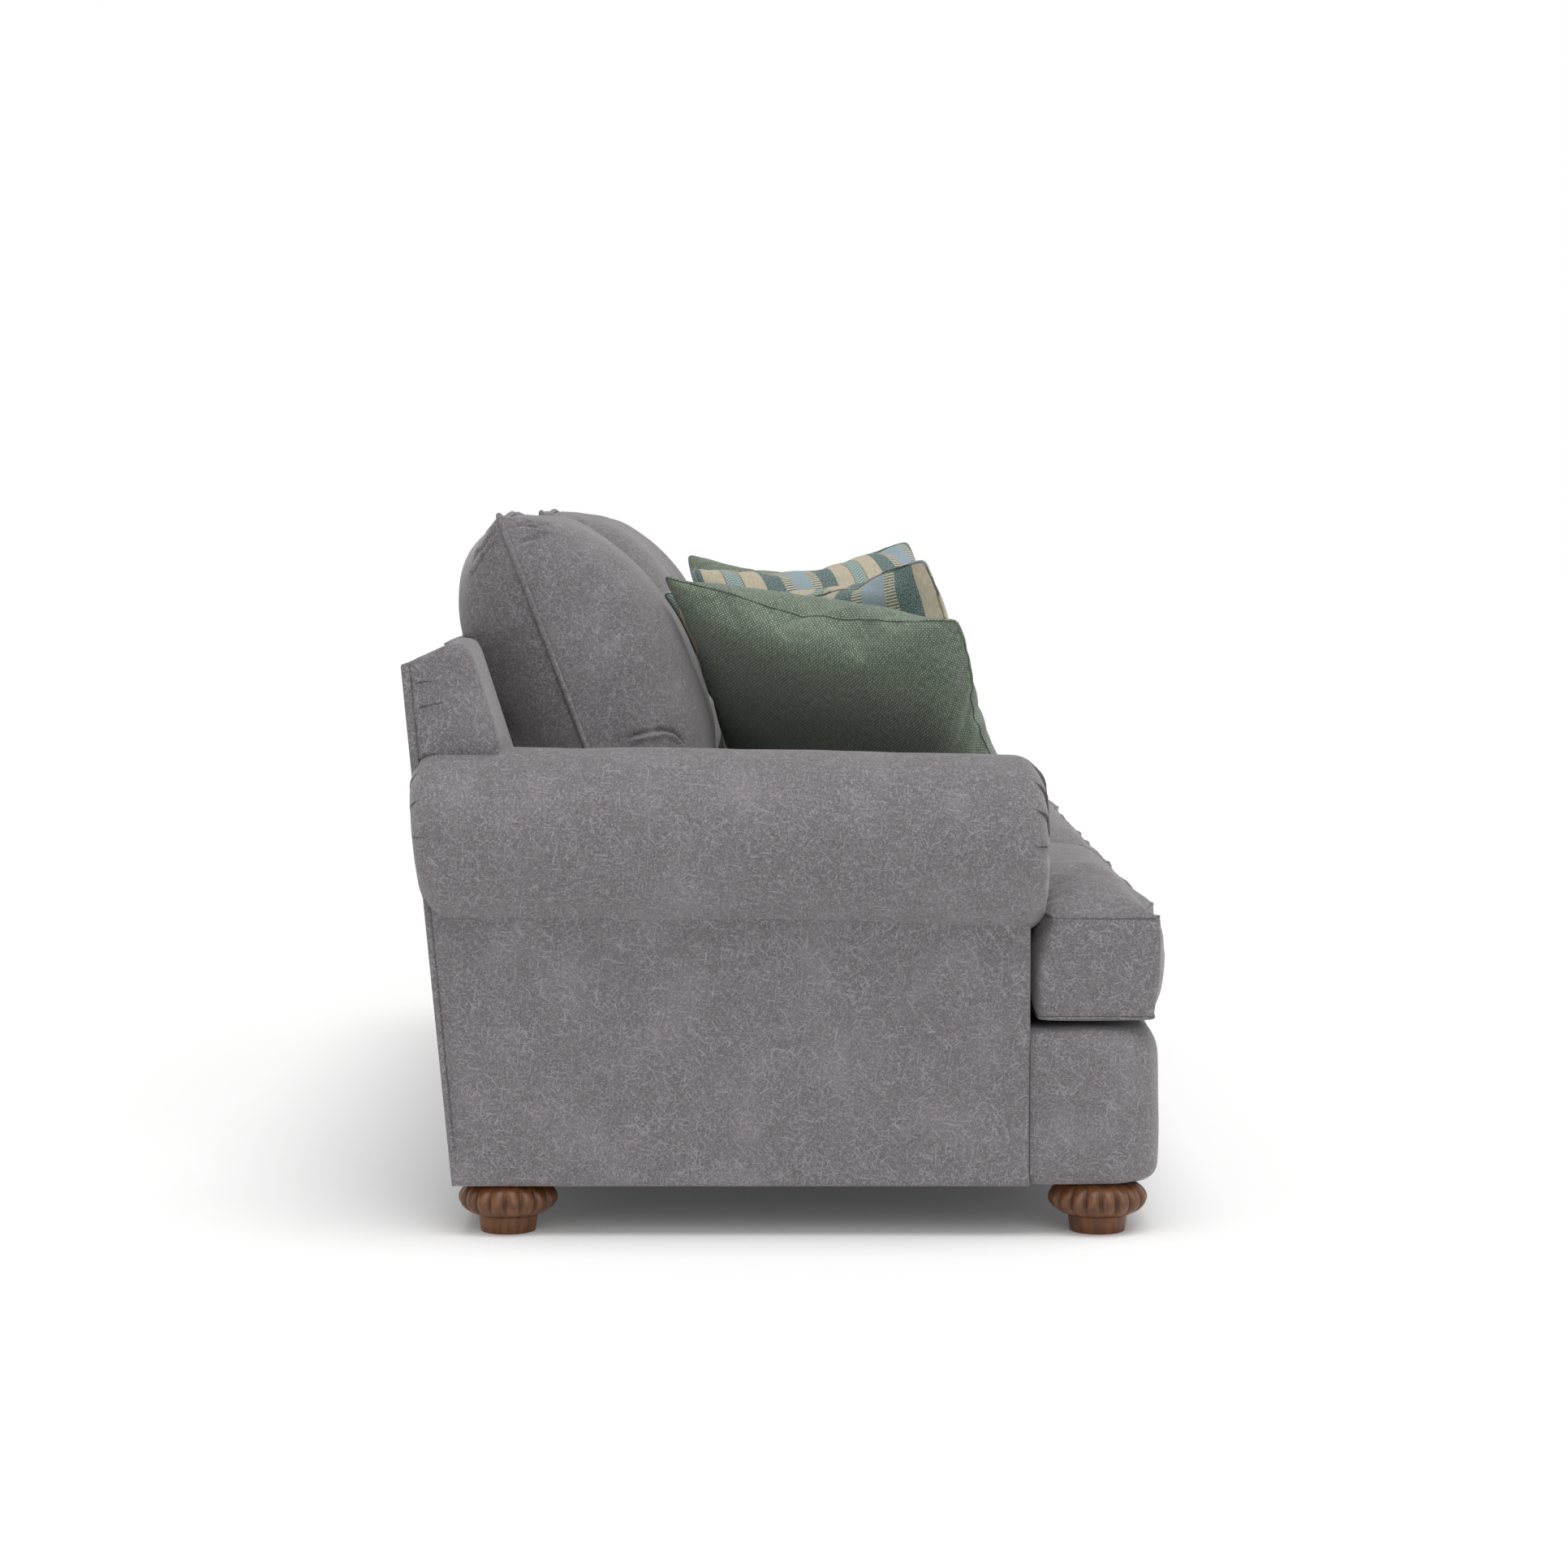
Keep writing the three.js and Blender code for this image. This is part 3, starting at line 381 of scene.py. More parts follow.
def stripes():
    """Woven bands of linen, slate tweed, pale blue and teal herringbone, with rungs between."""
    finish = Finish("Stripe weave", Sheen_Weight=0.2, Sheen_Roughness=0.5, Specular_IOR_Level=0.25)
    dyes = weave_look()
    cloth = finish.along_cloth()
    across, along, _ = finish.split(cloth)
    reach = sum(width for _, width in HALF_REPEAT) * MM
    wander = 0.0006 * finish.noise(cloth, 260, 1)
    fold = reach - ((across + wander) % (2 * reach) - reach).magnitude()
    pepper = finish.noise(finish.scaled(cloth, (1, 0.7, 1)), 620, 2, 0.7)
    thread = finish.noise(finish.scaled(cloth, (1, 0.12, 1)), 700, 2, 0.6)
    weft = finish.noise(finish.scaled(cloth, (0.12, 1, 1)), 700, 2, 0.6)
    rung = (along / 0.0048) % 1.0 > 0.55
    zig = ((along / 0.0052 + (across / 0.011 % 2.0 - 1.0).magnitude() * 1.4) % 1.0).ramp(0.25, 0.75)
    slate = finish.mix(pepper.ramp(0.38, 0.62), times(dyes.slate, 0.35), times(dyes.slate, 2.1))
    kinds = {
        "sky": finish.mix(pepper.ramp(0.3, 0.7), times(dyes.sky, 0.62), dyes.sky),
        "ladder": finish.mix(rung, slate, CREAM),
        "slate": slate,
        "linen": finish.mix(thread.ramp(0.3, 0.7), times(dyes.linen, 0.72), dyes.linen),
        "line": finish.mix(thread, LINE_DARK, LINE_LIGHT),
        "teal": finish.mix(zig, times(dyes.teal, 0.5), times(dyes.teal, 1.25)),
    }
    colour = kinds[HALF_REPEAT[0][0]]
    edge = 0.0
    for (_, width), (kind, _) in zip(HALF_REPEAT, HALF_REPEAT[1:]):
        edge += width * MM
        colour = finish.mix(fold > edge, colour, kinds[kind])
    dimmed = finish.mix(1.0, colour, (0.75, 0.75, 0.75), "MULTIPLY")
    colour = finish.mix(0.30 * weft, colour, dimmed)
    # Painted shade on the welt cord where it meets the pillow.
    colour = finish.mix(0.8 * finish.mark("painted_shade"), colour, STRIPE_PAINTED_SHADE)
    return finish.surface(colour, 0.92, 0.6 * pepper + 0.4 * weft, 0.5, 0.0009)


def wood(name, light, dark, gloss, coat, stretch=(9.0, 9.0, 1.0)):
    """Stained or raw hardwood with grain along one axis."""
    finish = Finish(name, Coat_Weight=coat, Coat_Roughness=0.3, Specular_IOR_Level=0.4)
    place = finish.place()
    warped = finish.shifted(place, finish.noise(place, 9, 2, output="Color"), 0.03)
    ring = finish.noise(finish.scaled(warped, stretch), 9, 4, 0.6)
    pore = finish.noise(finish.scaled(place, times(stretch, 4)), 60, 2, 0.6)
    figure = finish.noise(place, 28, 2)
    grain = ring.ramp(0.32, 0.68)
    colour = finish.mix(grain, dark, light)
    colour = finish.mix(0.5 * pore.ramp(0.52, 0.7), colour, dark)
    colour = finish.mix(0.35 * figure.ramp(0.35, 0.7), colour, dark)
    # Painted shade in the grooves of the feet and just above their blocks.
    groove = finish.mark("groove")
    colour = finish.mix(0.8 * groove, colour, times(dark, 0.16))
    rough = gloss + 0.16 * pore + 0.1 * grain + 0.2 * groove
    return finish.surface(colour, rough, 0.4 * pore + 0.3 * grain, 0.18, 0.0005)


def steel():
    """Drawn wire and plated bolts, a little oiled and dulled."""
    finish = Finish("Spring steel", Metallic=1.0)
    place = finish.place()
    smear = finish.noise(place, 40, 3)
    scratch = finish.noise(finish.scaled(place, (1, 8, 8)), 220, 2)
    colour = finish.mix(smear.ramp(0.35, 0.7), (0.30, 0.29, 0.28), (0.46, 0.46, 0.47))
    return finish.surface(colour, 0.28 + 0.2 * smear, scratch, 0.12, 0.0003)


def lining(name, dark, light):
    """Spun-bonded or plain decking cloth."""
    finish = Finish(name, Specular_IOR_Level=0.15)
    place = finish.place()
    tangled = finish.shifted(place, finish.noise(place, 90, 2, output="Color"), 0.01)
    fibre = finish.noise(tangled, 480, 3)
    dimple = finish.cells(place, 420).ramp(0.0, 0.6)
    colour = finish.mix(fibre.ramp(0.3, 0.75), dark, light)
    return finish.surface(colour, 0.95, 0.5 * fibre + 0.5 * dimple, 0.3, 0.0005)


@cache
def finish_of(slot):
    """The material of a slot, made once."""
    makers = {
        "upholstery": suede,
        "green_weave": basket,
        "stripe_weave": stripes,
        "walnut": lambda: wood("Walnut", (0.205, 0.078, 0.022), (0.092, 0.031, 0.009), 0.34, 0.25),
        "hardwood": lambda: wood(
            "Hardwood", (0.56, 0.36, 0.17), (0.40, 0.23, 0.10), 0.58, 0.0, (1.0, 9.0, 9.0)),
        "spring_steel": steel,
        "lining": lambda: lining("Lining", (0.016, 0.016, 0.017), (0.040, 0.040, 0.043)),
        "decking": lambda: lining("Decking", (0.060, 0.054, 0.057), (0.12, 0.11, 0.115)),
    }
    return makers[slot]()


# Meshes


def new_object(name, points, faces, slot):
    """A smooth object of these points and faces, in its finish."""
    mesh = bpy.data.meshes.new(name)
    mesh.from_pydata([tuple(p) for p in points], [], [tuple(f) for f in faces])
    mesh.update()
    mesh.shade_smooth()
    mesh.materials.append(finish_of(slot))
    piece = bpy.data.objects.new(name, mesh)
    bpy.context.scene.collection.objects.link(piece)
    return piece


@contextmanager
def edited(piece):
    """The mesh of a piece, opened for editing and put back afterwards."""
    mesh = bmesh.new()
    mesh.from_mesh(piece.data)
    yield mesh
    mesh.to_mesh(piece.data)
    mesh.free()


def places(piece):
    """Where the points of a piece lie."""
    found = np.empty(len(piece.data.vertices) * 3)
    piece.data.vertices.foreach_get("co", found)
    return found.reshape(-1, 3)


def normals(piece):
    """Which way the surface faces at each point."""
    found = np.empty(len(piece.data.vertices) * 3)
    piece.data.vertices.foreach_get("normal", found)
    return found.reshape(-1, 3)


def move_to(piece, points):
    """Puts the points of a piece in new places."""
    piece.data.vertices.foreach_set("co", np.ascontiguousarray(points, dtype=np.float32).ravel())
    piece.data.update()


def store(piece, name, values):
    """Keeps a number or a vector at every corner of a mesh, for its material."""
    kind, key = ("FLOAT_VECTOR", "vector") if np.ndim(values) == 2 else ("FLOAT", "value")
    attribute = piece.data.attributes.new(name, kind, "POINT")
    attribute.data.foreach_set(key, np.ascontiguousarray(values, dtype=np.float32).ravel())


def settle_modifiers(piece):
    """Makes what the modifiers show the mesh itself."""
    graph = bpy.context.evaluated_depsgraph_get()
    shown = bpy.data.meshes.new_from_object(piece.evaluated_get(graph), depsgraph=graph)
    piece.modifiers.clear()
    worn = piece.data
    piece.data = shown
    shown.name = worn.name
    bpy.data.meshes.remove(worn)
    return piece


def lattice(us, vs, ws):
    """The surface of a block of grid points, with its faces turned out."""
    index, points, faces = {}, [], []

    def at(i, j, k):
        if (i, j, k) not in index:
            index[i, j, k] = len(points)
            points.append((us[i], vs[j], ws[k]))
        return index[i, j, k]

    last = [len(us) - 1, len(vs) - 1, len(ws) - 1]
    for axis in range(3):
        b, c = (axis + 1) % 3, (axis + 2) % 3
        for end in (0, last[axis]):
            for i in range(last[b]):
                for j in range(last[c]):
                    corners = []
                    for di, dj in ((0, 0), (1, 0), (1, 1), (0, 1)):
                        cell = [0, 0, 0]
                        cell[axis], cell[b], cell[c] = end, i + di, j + dj
                        corners.append(at(*cell))
                    faces.append(corners if end else corners[::-1])
    return np.array(points), faces


def quads(rows, sides, first=0, closed=False):
    """The faces between closed rings of points, each ring with as many points."""
    faces = []
    for k in range(rows if closed else rows - 1):
        here, there = first + k * sides, first + (k + 1) % rows * sides
        for i in range(sides):
            j = (i + 1) % sides
            faces.append((here + i, here + j, there + j, there + i))
    return faces


def even(count):
    """Steps from -1 to 1, closer together towards both ends."""
    return np.sin(np.linspace(-1, 1, count + 1) * math.pi / 2)


def waves(points, length, seed, count=7):
    """A smooth unevenness from -1 to 1 with about this distance between its crests."""
    rng = np.random.default_rng(seed)
    total = np.zeros(len(points))
    for _ in range(count):
        direction = rng.normal(size=3)
        direction /= np.linalg.norm(direction)
        stride = length * rng.uniform(0.7, 1.5)
        total += np.sin(points @ direction * 2 * math.pi / stride + rng.uniform(0, 2 * math.pi))
    return total / math.sqrt(count) / 1.6


def puff(piece, amounts):
    """Moves each corner out along its normal."""
    move_to(piece, places(piece) + normals(piece) * np.asarray(amounts)[:, None])


def soften(piece, edge, rounds, slot):
    """Remeshes a piece evenly, then smooths it."""
    remesh = piece.modifiers.new("Even", "REMESH")
    remesh.mode = "VOXEL"
    remesh.voxel_size = edge
    smooth = piece.modifiers.new("Soft", "SMOOTH")
    smooth.iterations = rounds
    settle_modifiers(piece)
    piece.data.shade_smooth()
    piece.data.materials.clear()
    piece.data.materials.append(finish_of(slot))
    return piece


def subdivide(piece):
    """Gives a piece a mesh twice as fine."""
    piece.modifiers.new("Finer", "SUBSURF").levels = 1
    settle_modifiers(piece)
    piece.data.shade_smooth()


def blunt(piece, weights, rounds):
    """Smooths a part of a piece."""
    group = piece.vertex_groups.new(name="blunt")
    for number, weight in enumerate(weights):
        if weight > 0:
            group.add([number], float(weight), "REPLACE")
    smooth = piece.modifiers.new("Blunt", "SMOOTH")
    smooth.iterations = rounds
    smooth.vertex_group = group.name
    settle_modifiers(piece)
    piece.vertex_groups.clear()


def settle_on(piece, other, free, reach, press):
    """Lets the free edge of a piece sink into the one that it is sewn to."""
    tree = tree_of(other)
    points = places(piece)
    low, high = places(other).min(0) - reach, places(other).max(0) + reach
    for i in np.where(free & ((points > low) & (points < high)).all(axis=1))[0]:
        spot, normal, _, away = tree.find_nearest(Vector(points[i]), reach)
        if spot is not None:
            points[i] = spot - normal * press * (1 - away / reach)
    move_to(piece, points)


def skin_of(node, name, edge, rounds, slot):
    """An even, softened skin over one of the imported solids."""
    piece = bpy.data.objects.new(name, frame["nodes"][node].data.copy())
    bpy.context.scene.collection.objects.link(piece)
    with edited(piece) as mesh:
        bmesh.ops.remove_doubles(mesh, verts=mesh.verts, dist=1e-5)
    return soften(piece, edge, rounds, slot)


def rim_of(us, vs):
    """Once round the edge of a grid."""
    rim = [(u, vs[0]) for u in us] + [(us[-1], v) for v in vs[1:]]
    return rim + [(u, vs[-1]) for u in us[::-1][1:]] + [(us[0], v) for v in vs[::-1][1:-1]]


def closed_length(points):
    """The length of each step along a closed line."""
    steps = np.roll(points, -1, axis=0) - points
    return np.linalg.norm(steps, axis=1)


def resampled(points, step):
    """A closed line with its points evenly spaced."""
    lengths = closed_length(points)
    total = lengths.sum()
    count = max(12, round(total / step))
    marks = np.concatenate([[0], np.cumsum(lengths)])
    wanted = np.linspace(0, total, count, endpoint=False)
    loop = np.vstack([points, points[:1]])
    return np.stack([np.interp(wanted, marks, loop[:, i]) for i in range(3)], axis=1)


def smoothed_line(points, rounds):
    """A closed line with its small kinks taken out."""
    for _ in range(rounds):
        points = (np.roll(points, 1, axis=0) + 2 * points + np.roll(points, -1, axis=0)) / 4
    return points


def tube(name, line, radius, slot, skin, sides=12):
    """A welt: a cord along a closed line, in shadow where it meets the cloth."""
    count = len(line)
    ahead = np.roll(line, -1, axis=0) - np.roll(line, 1, axis=0)
    ahead /= np.linalg.norm(ahead, axis=1)[:, None]
    side = np.cross(ahead, (0.31, 0.17, 0.93))
    side /= np.linalg.norm(side, axis=1)[:, None]
    for i in range(1, count):
        turned = side[i - 1] - ahead[i] * (side[i - 1] @ ahead[i])
        side[i] = turned / np.linalg.norm(turned)
    lift = np.cross(ahead, side)
    run = np.concatenate([[0], np.cumsum(closed_length(line))])[:-1]
    points, cloth = [], []
    for i in range(count):
        for k in range(sides):
            angle = 2 * math.pi * k / sides
            spoke = math.cos(angle) * side[i] + math.sin(angle) * lift[i]
            points.append(line[i] + radius * spoke)
            cloth.append((run[i], radius * angle, 0.0))
    faces = quads(count, sides, closed=True)
    turn = np.cross(side[0], lift[0]) @ ahead[0]
    piece = new_object(name, points, faces if turn > 0 else [f[::-1] for f in faces], slot)
    store(piece, "cloth", np.array(cloth))
    tree = tree_of(skin)
    clear = []
    for point in points:
        spot, normal, _, _ = tree.find_nearest(Vector(point))
        clear.append((Vector(point) - spot).dot(normal))
    # Painted shade on the cord where it meets the cloth.
    store(piece, "painted_shade", np.clip(1.15 - np.array(clear) / (0.5 * radius), 0, 1))
    return piece


def tree_of(piece):
    """The surface of a piece, to search for the nearest spot on it."""
    faces = [tuple(p.vertices) for p in piece.data.polygons]
    return BVHTree.FromPolygons([Vector(v.co) for v in piece.data.vertices], faces)


def make_way(piece, others, gap=0.0008, reach=0.05):
    """Presses a soft piece back where it would go into its neighbours."""
    moved = places(piece)
    for other in (bpy.context.scene.objects[name] for name in others):
        found = places(other)
        low, high = found.min(0) - gap, found.max(0) + gap
        near = np.where(((moved > low) & (moved < high)).all(axis=1))[0]
        tree = tree_of(other) if len(near) else None
        for i in near:
            spot, normal, _, away = tree.find_nearest(Vector(moved[i]), reach)
            if spot is not None and (away < gap or (Vector(moved[i]) - spot).dot(normal) < 0):
                moved[i] = spot + normal * gap
    move_to(piece, moved)


def carried(line, before, after, count=6):
    """A line moved with the cloth that it lies on."""
    tree = KDTree(len(before))
    for i, point in enumerate(before):
        tree.insert(point, i)
    tree.balance()
    moved = []
    for point in line:
        near = tree.find_n(point, count)
        weights = np.array([1 / (away + 0.002) for _, _, away in near])
        shift = sum(w * (after[i] - before[i]) for w, (_, i, _) in zip(weights, near))
        moved.append(point + shift / weights.sum())
    return np.array(moved)


# How the covers take to being filled.
COVER_CLOTH = {
    "quality": 6,
    "mass": 0.3,
    "tension_stiffness": 18,
    "compression_stiffness": 12,
    "shear_stiffness": 6,
    "bending_stiffness": 0.6,
    "tension_damping": 12,
    "use_pressure": True,
}


def fill(pieces, pressure, frames):
    """Fills cloth covers: runs them together and keeps the result."""
    scene = bpy.context.scene
    for piece in pieces:
        cloth = piece.modifiers.new("Filling", "CLOTH")
        for setting, value in COVER_CLOTH.items():
            setattr(cloth.settings, setting, value)
        cloth.settings.uniform_pressure_force = pressure
        cloth.settings.effector_weights.gravity = 0
        cloth.collision_settings.use_collision = False
        cloth.collision_settings.use_self_collision = False
        cloth.point_cache.frame_start = 1
        cloth.point_cache.frame_end = frames
    for step in range(1, frames + 1):
        scene.frame_set(step)
    graph = bpy.context.evaluated_depsgraph_get()
    filled = [places(piece.evaluated_get(graph)) for piece in pieces]
    for piece, points in zip(pieces, filled):
        piece.modifiers.clear()
        move_to(piece, points)
    scene.frame_set(1)


def held(before, after, most):
    """Keeps each point within its own reach of where it started."""
    shift = after - before
    length = np.linalg.norm(shift, axis=1)
    share = np.minimum(1, np.asarray(most) / np.maximum(length, 1e-9))
    return before + shift * share[:, None]


def crease(piece, line, width, depth, lip=0.5, reach=3.0, shade=0.9):
    """Presses a short fold into a skin along a line, with a raised lip on one side and painted shade
    along the fold.
    """
    line = np.asarray(line, dtype=float)

    def nearest(points):
        best = np.full(len(points), 1e9)
        foot = np.zeros((len(points), 3))
        share = np.zeros(len(points))
        along = np.zeros((len(points), 3))
        steps = len(line) - 1
        for k in range(steps):
            start, way = line[k], line[k + 1] - line[k]
            t = np.clip((points - start) @ way / (way @ way), 0, 1)
            spot = start + t[:, None] * way
            away = np.linalg.norm(points - spot, axis=1)
            closer = away < best
            best[closer], foot[closer] = away[closer], spot[closer]
            share[closer] = (k + t[closer]) / steps
            along[closer] = way / np.linalg.norm(way)
        return best, foot, share, along

    for _ in range(3):
        away = nearest(places(piece))[0]
        close = set(np.where(away < reach * width * 1.6)[0])
        with edited(piece) as mesh:
            edges = [
                e for e in mesh.edges
                if close.issuperset(v.index for v in e.verts) and e.calc_length() > width * 0.7]
            bmesh.ops.subdivide_edges(mesh, edges=edges, cuts=1, use_grid_fill=True)
        piece.data.shade_smooth()
    points, facing = places(piece), normals(piece)
    away, foot, share, along = nearest(points)
    near = away < reach * width
    across = np.cross(along, facing)
    offset = np.einsum("ij,ij->i", points - foot, across)
    ends = np.clip(np.minimum(share, 1 - share) * 5, 0, 1)
    sunk = -depth * np.exp(-(away / (0.55 * width)) ** 2)
    raised = lip * depth * np.exp(-((offset - width) / width) ** 2)
    points[near] += facing[near] * ((sunk + raised) * ends)[near, None]
    move_to(piece, points)
    # Painted shade along the fold, kept together with any painted shade that the piece already has.
    marks = np.zeros(len(points))
    if "painted_shade" in piece.data.attributes:
        piece.data.attributes["painted_shade"].data.foreach_get("value", marks)
        piece.data.attributes.remove(piece.data.attributes["painted_shade"])
    store(piece, "painted_shade", np.maximum(marks, shade * ends * np.exp(-(away / (0.42 * width)) ** 2)))


def dress(piece, body, slot, *nodes):
    """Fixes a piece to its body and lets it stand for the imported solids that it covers."""
    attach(piece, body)
    if nodes:
        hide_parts(*nodes)
    return piece


def upholster(piece, node):
    """Fixes padded cloth to the frame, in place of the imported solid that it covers."""
    dress(piece, "root", "upholstery", node)


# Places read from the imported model


def extent(node):
    """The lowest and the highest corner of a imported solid."""
    low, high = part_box(node)
    return np.array(low), np.array(high)


LEAN = math.tan(math.radians(5.35))


def measures():
    """The few lines that the upholstery shares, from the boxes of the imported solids."""
    panel_low, panel_high = extent("outside_arm_left")
    roll_low, roll_high = extent("arm_cover_left")
    radius = (roll_high[0] - roll_low[0]) / 2
    return {
        "arm_front": panel_low[1],
        "panel_face": panel_high[0],
        "arm_inside": roll_low[0],
        "roll_radius": radius,
        "roll_across": roll_high[0] - radius,
        "roll_level": roll_high[2] - radius,
        "roll_front": roll_low[1],
        "hem": panel_low[2],
        "rear_foot": panel_high[1] - LEAN * (panel_high[2] - panel_low[2]),
    }


def rear_line(m, z):
    """How far back the leaning rear face of the sofa is at this height."""
    return m["rear_foot"] + (z - m["hem"]) * LEAN


# Fixed upholstery

PLEATS = 14
ROLL_FALL = 0.013
ROLL_ROUND = 0.042
PLEAT_SHARES = (0.0, 0.014, 0.05, 0.15, 0.29, 0.44, 0.59, 0.74, 0.88, 0.965, 0.988)
PLEAT_SHADE = (1.0, 0.6, 0, 0, 0, 0, 0, 0, 0, 0, 0.7)
PLEAT_DEPTH = 0.0038
PLEAT_RISE = 0.0042
REAR_PLEAT_DEPTH = 0.003
PLEAT_RUN = 0.019
PLEAT_TURN = math.radians(2.0)
FRONT_DOME = 0.005


def roll_points(m, sign):
    """Rings of the stuffed roll from the middle of its front face to the middle of its rear face,
    and how deep in shadow the folds of each ring are."""
    rng = np.random.default_rng(5)
    step = 2 * math.pi / PLEATS
    starts = np.arange(PLEATS) * step + PLEAT_TURN + rng.uniform(-0.05, 0.05, PLEATS)
    starts = np.append(starts, starts[0] + 2 * math.pi)
    angles, fold = [], []
    for k in range(PLEATS):
        for share in PLEAT_SHARES:
            angles.append(starts[k] + share * (starts[k + 1] - starts[k]))
            fold.append((1 - share) ** 1.3 * (1 - math.exp(-share * 90)) - 0.3 * (share == 0))
    angles, fold = np.array(angles), np.array(fold)
    radius, level = m["roll_radius"], m["roll_level"]
    front = m["roll_front"] + FRONT_DOME
    rear = rear_line(m, level) + 0.004
    rings, shades = [], []

    def ring(y, r, depth, leaning, dark=0.0, ahead=0.0):
        """One ring: upright where leaning is 0, and with the back's lean where it is 1."""
        reach = r + depth * fold
        drop = ROLL_FALL * (1 - (y - front) / (rear - front)) ** 2
        z = level - drop + reach * np.sin(angles)
        x = m["roll_across"] + reach * np.cos(angles)
        back = (z - level) * LEAN * leaning
        rings.append(np.stack([sign * x, y + back - ahead * fold, z], axis=1))
        shades.append(dark)

    face = radius - ROLL_ROUND
    for share in np.linspace(0.06, 0.95, 9):
        dome = FRONT_DOME * (1 - share ** 2) - 0.002 * math.exp(-(share / 0.12) ** 2)
        ring(front - dome, face * share, 0.0, 0, 0.8, PLEAT_RISE * min(1, share * 2.4))
    turn = []
    for degrees in (90, 80, 70, 62, 54, 47, 40, 33, 26, 18, 9, 0):
        angle = math.radians(degrees)
        ahead = ROLL_ROUND * (1 - math.sin(angle))
        full = min(1.0, max(0.0, (PLEAT_RUN - ahead) / 0.012))
        turn.append((angle, ahead, radius - ROLL_ROUND * (1 - math.cos(angle)), full))
    for angle, ahead, r, full in turn:
        deep = PLEAT_DEPTH * full
        ring(front + ahead, r - deep, deep, 0, full, PLEAT_RISE * full * math.sin(angle) ** 2)
    start, stop = front + ROLL_ROUND + 0.008, rear - ROLL_ROUND - 0.008
    for share in np.linspace(0, 1, 94):
        ring(start + (stop - start) * share, radius, 0.0, share ** 3)
    for _, ahead, r, full in turn[::-1]:
        deep = REAR_PLEAT_DEPTH * full
        ring(rear - ahead, r - deep, deep, 1, full)
    for share in np.linspace(0.9, 0.1, 6):
        ring(rear, face * share, 0.001, 1, 0.5)
    return rings, np.outer(shades, PLEAT_SHADE * PLEATS), front, rear


def roll_arm(m, side, sign):
    """The stuffed roll of an arm with its pleated ends."""
    rings, shade, front, rear = roll_points(m, sign)
    count, sides = len(rings), len(rings[0])
    points = np.vstack([rings[0].mean(axis=0), *rings, rings[-1].mean(axis=0)])
    faces = quads(count, sides, first=1)
    end = 1 + (count - 1) * sides
    for i in range(sides):
        j = (i + 1) % sides
        faces += [(0, 1 + j, 1 + i), (end + sides, end + i, end + j)]
    if sign > 0:
        faces = [f[::-1] for f in faces]
    panel_back = rear_line(m, points[:, 2]) - 0.0125
    covered = (np.abs(points[:, 0]) < m["panel_face"] - 0.0135) & (points[:, 1] > panel_back)
    points[covered, 1] = panel_back[covered]
    piece = new_object(f"arm_{side}", points, faces, "upholstery")
    # Painted shade in the folds of the pleats and on the front face.
    store(piece, "painted_shade", np.concatenate([[0], shade.ravel(), [0]]))
    to_end = np.clip((np.stack([points[:, 1] - front, rear - points[:, 1]]) - 0.06) / 0.05, 0, 1)
    broad, fine = waves(points, 0.23, 11 + sign), waves(points, 0.07, 13 + sign)
    puff(piece, to_end.prod(axis=0) * (0.0016 * broad + 0.0006 * fine))
    return piece


def slab(name, corners, inward, slot, bulge=0.0015, roundness=0.005, step=0.018, seed=1):
    """A padded panel: four corners of its outer face, in order, and the way through it."""
    a, b, c, d = (np.array(p, dtype=float) for p in corners)
    inward = np.array(inward, dtype=float)
    width, height = np.linalg.norm(b - a), np.linalg.norm(d - a)

    def shares(length):
        inner = np.linspace(2.2 * roundness, length - 2.2 * roundness, max(3, round(length / step)))
        edge = roundness * np.array([0, 0.12, 0.4, 0.9, 1.5])
        return np.concatenate([edge, inner, length - edge[::-1]]) / length

    grid, faces = lattice(shares(width), (0.0, 0.5, 1.0), shares(height))
    u, v, w = grid.T
    flat = (
        a * ((1 - u) * (1 - w))[:, None] + b * (u * (1 - w))[:, None]
        + c * (u * w)[:, None] + d * ((1 - u) * w)[:, None])
    to_edge = np.minimum(np.minimum(u, 1 - u) * width, np.minimum(w, 1 - w) * height)
    fall = np.clip(1 - to_edge / roundness, 0, 1)
    thick = np.linalg.norm(inward)
    round_off = roundness * (1 - np.sqrt(1 - np.minimum(fall, 0.999) ** 2)) / thick
    depth = np.where(v < 0.25, round_off, np.where(v > 0.75, 1 - round_off, 0.5))
    points = flat + inward * depth[:, None]
    swell = (1 - (2 * u - 1) ** 8) * (1 - (2 * w - 1) ** 8)
    out = np.where(v < 0.25, bulge * swell * (1 + 0.6 * waves(flat, 0.28, seed)), 0)
    points -= inward / thick * out[:, None]
    return facing_out(new_object(name, points, faces, slot))


def facing_out(piece):
    """Turns a closed piece's faces outward."""
    with edited(piece) as mesh:
        bmesh.ops.recalc_face_normals(mesh, faces=mesh.faces)
    return piece


def rectangle(low, high, across, up, level):
    """The corners of a flat outline: two axes that it spans, and its place on the third."""
    corners = []
    for a, b in ((0, 0), (1, 0), (1, 1), (0, 1)):
        corner = [level, level, level]
        corner[across] = (low, high)[a][across]
        corner[up] = (low, high)[b][up]
        corners.append(corner)
    return corners


PANEL_THICK = 0.014
WALL_REAR = 0.466


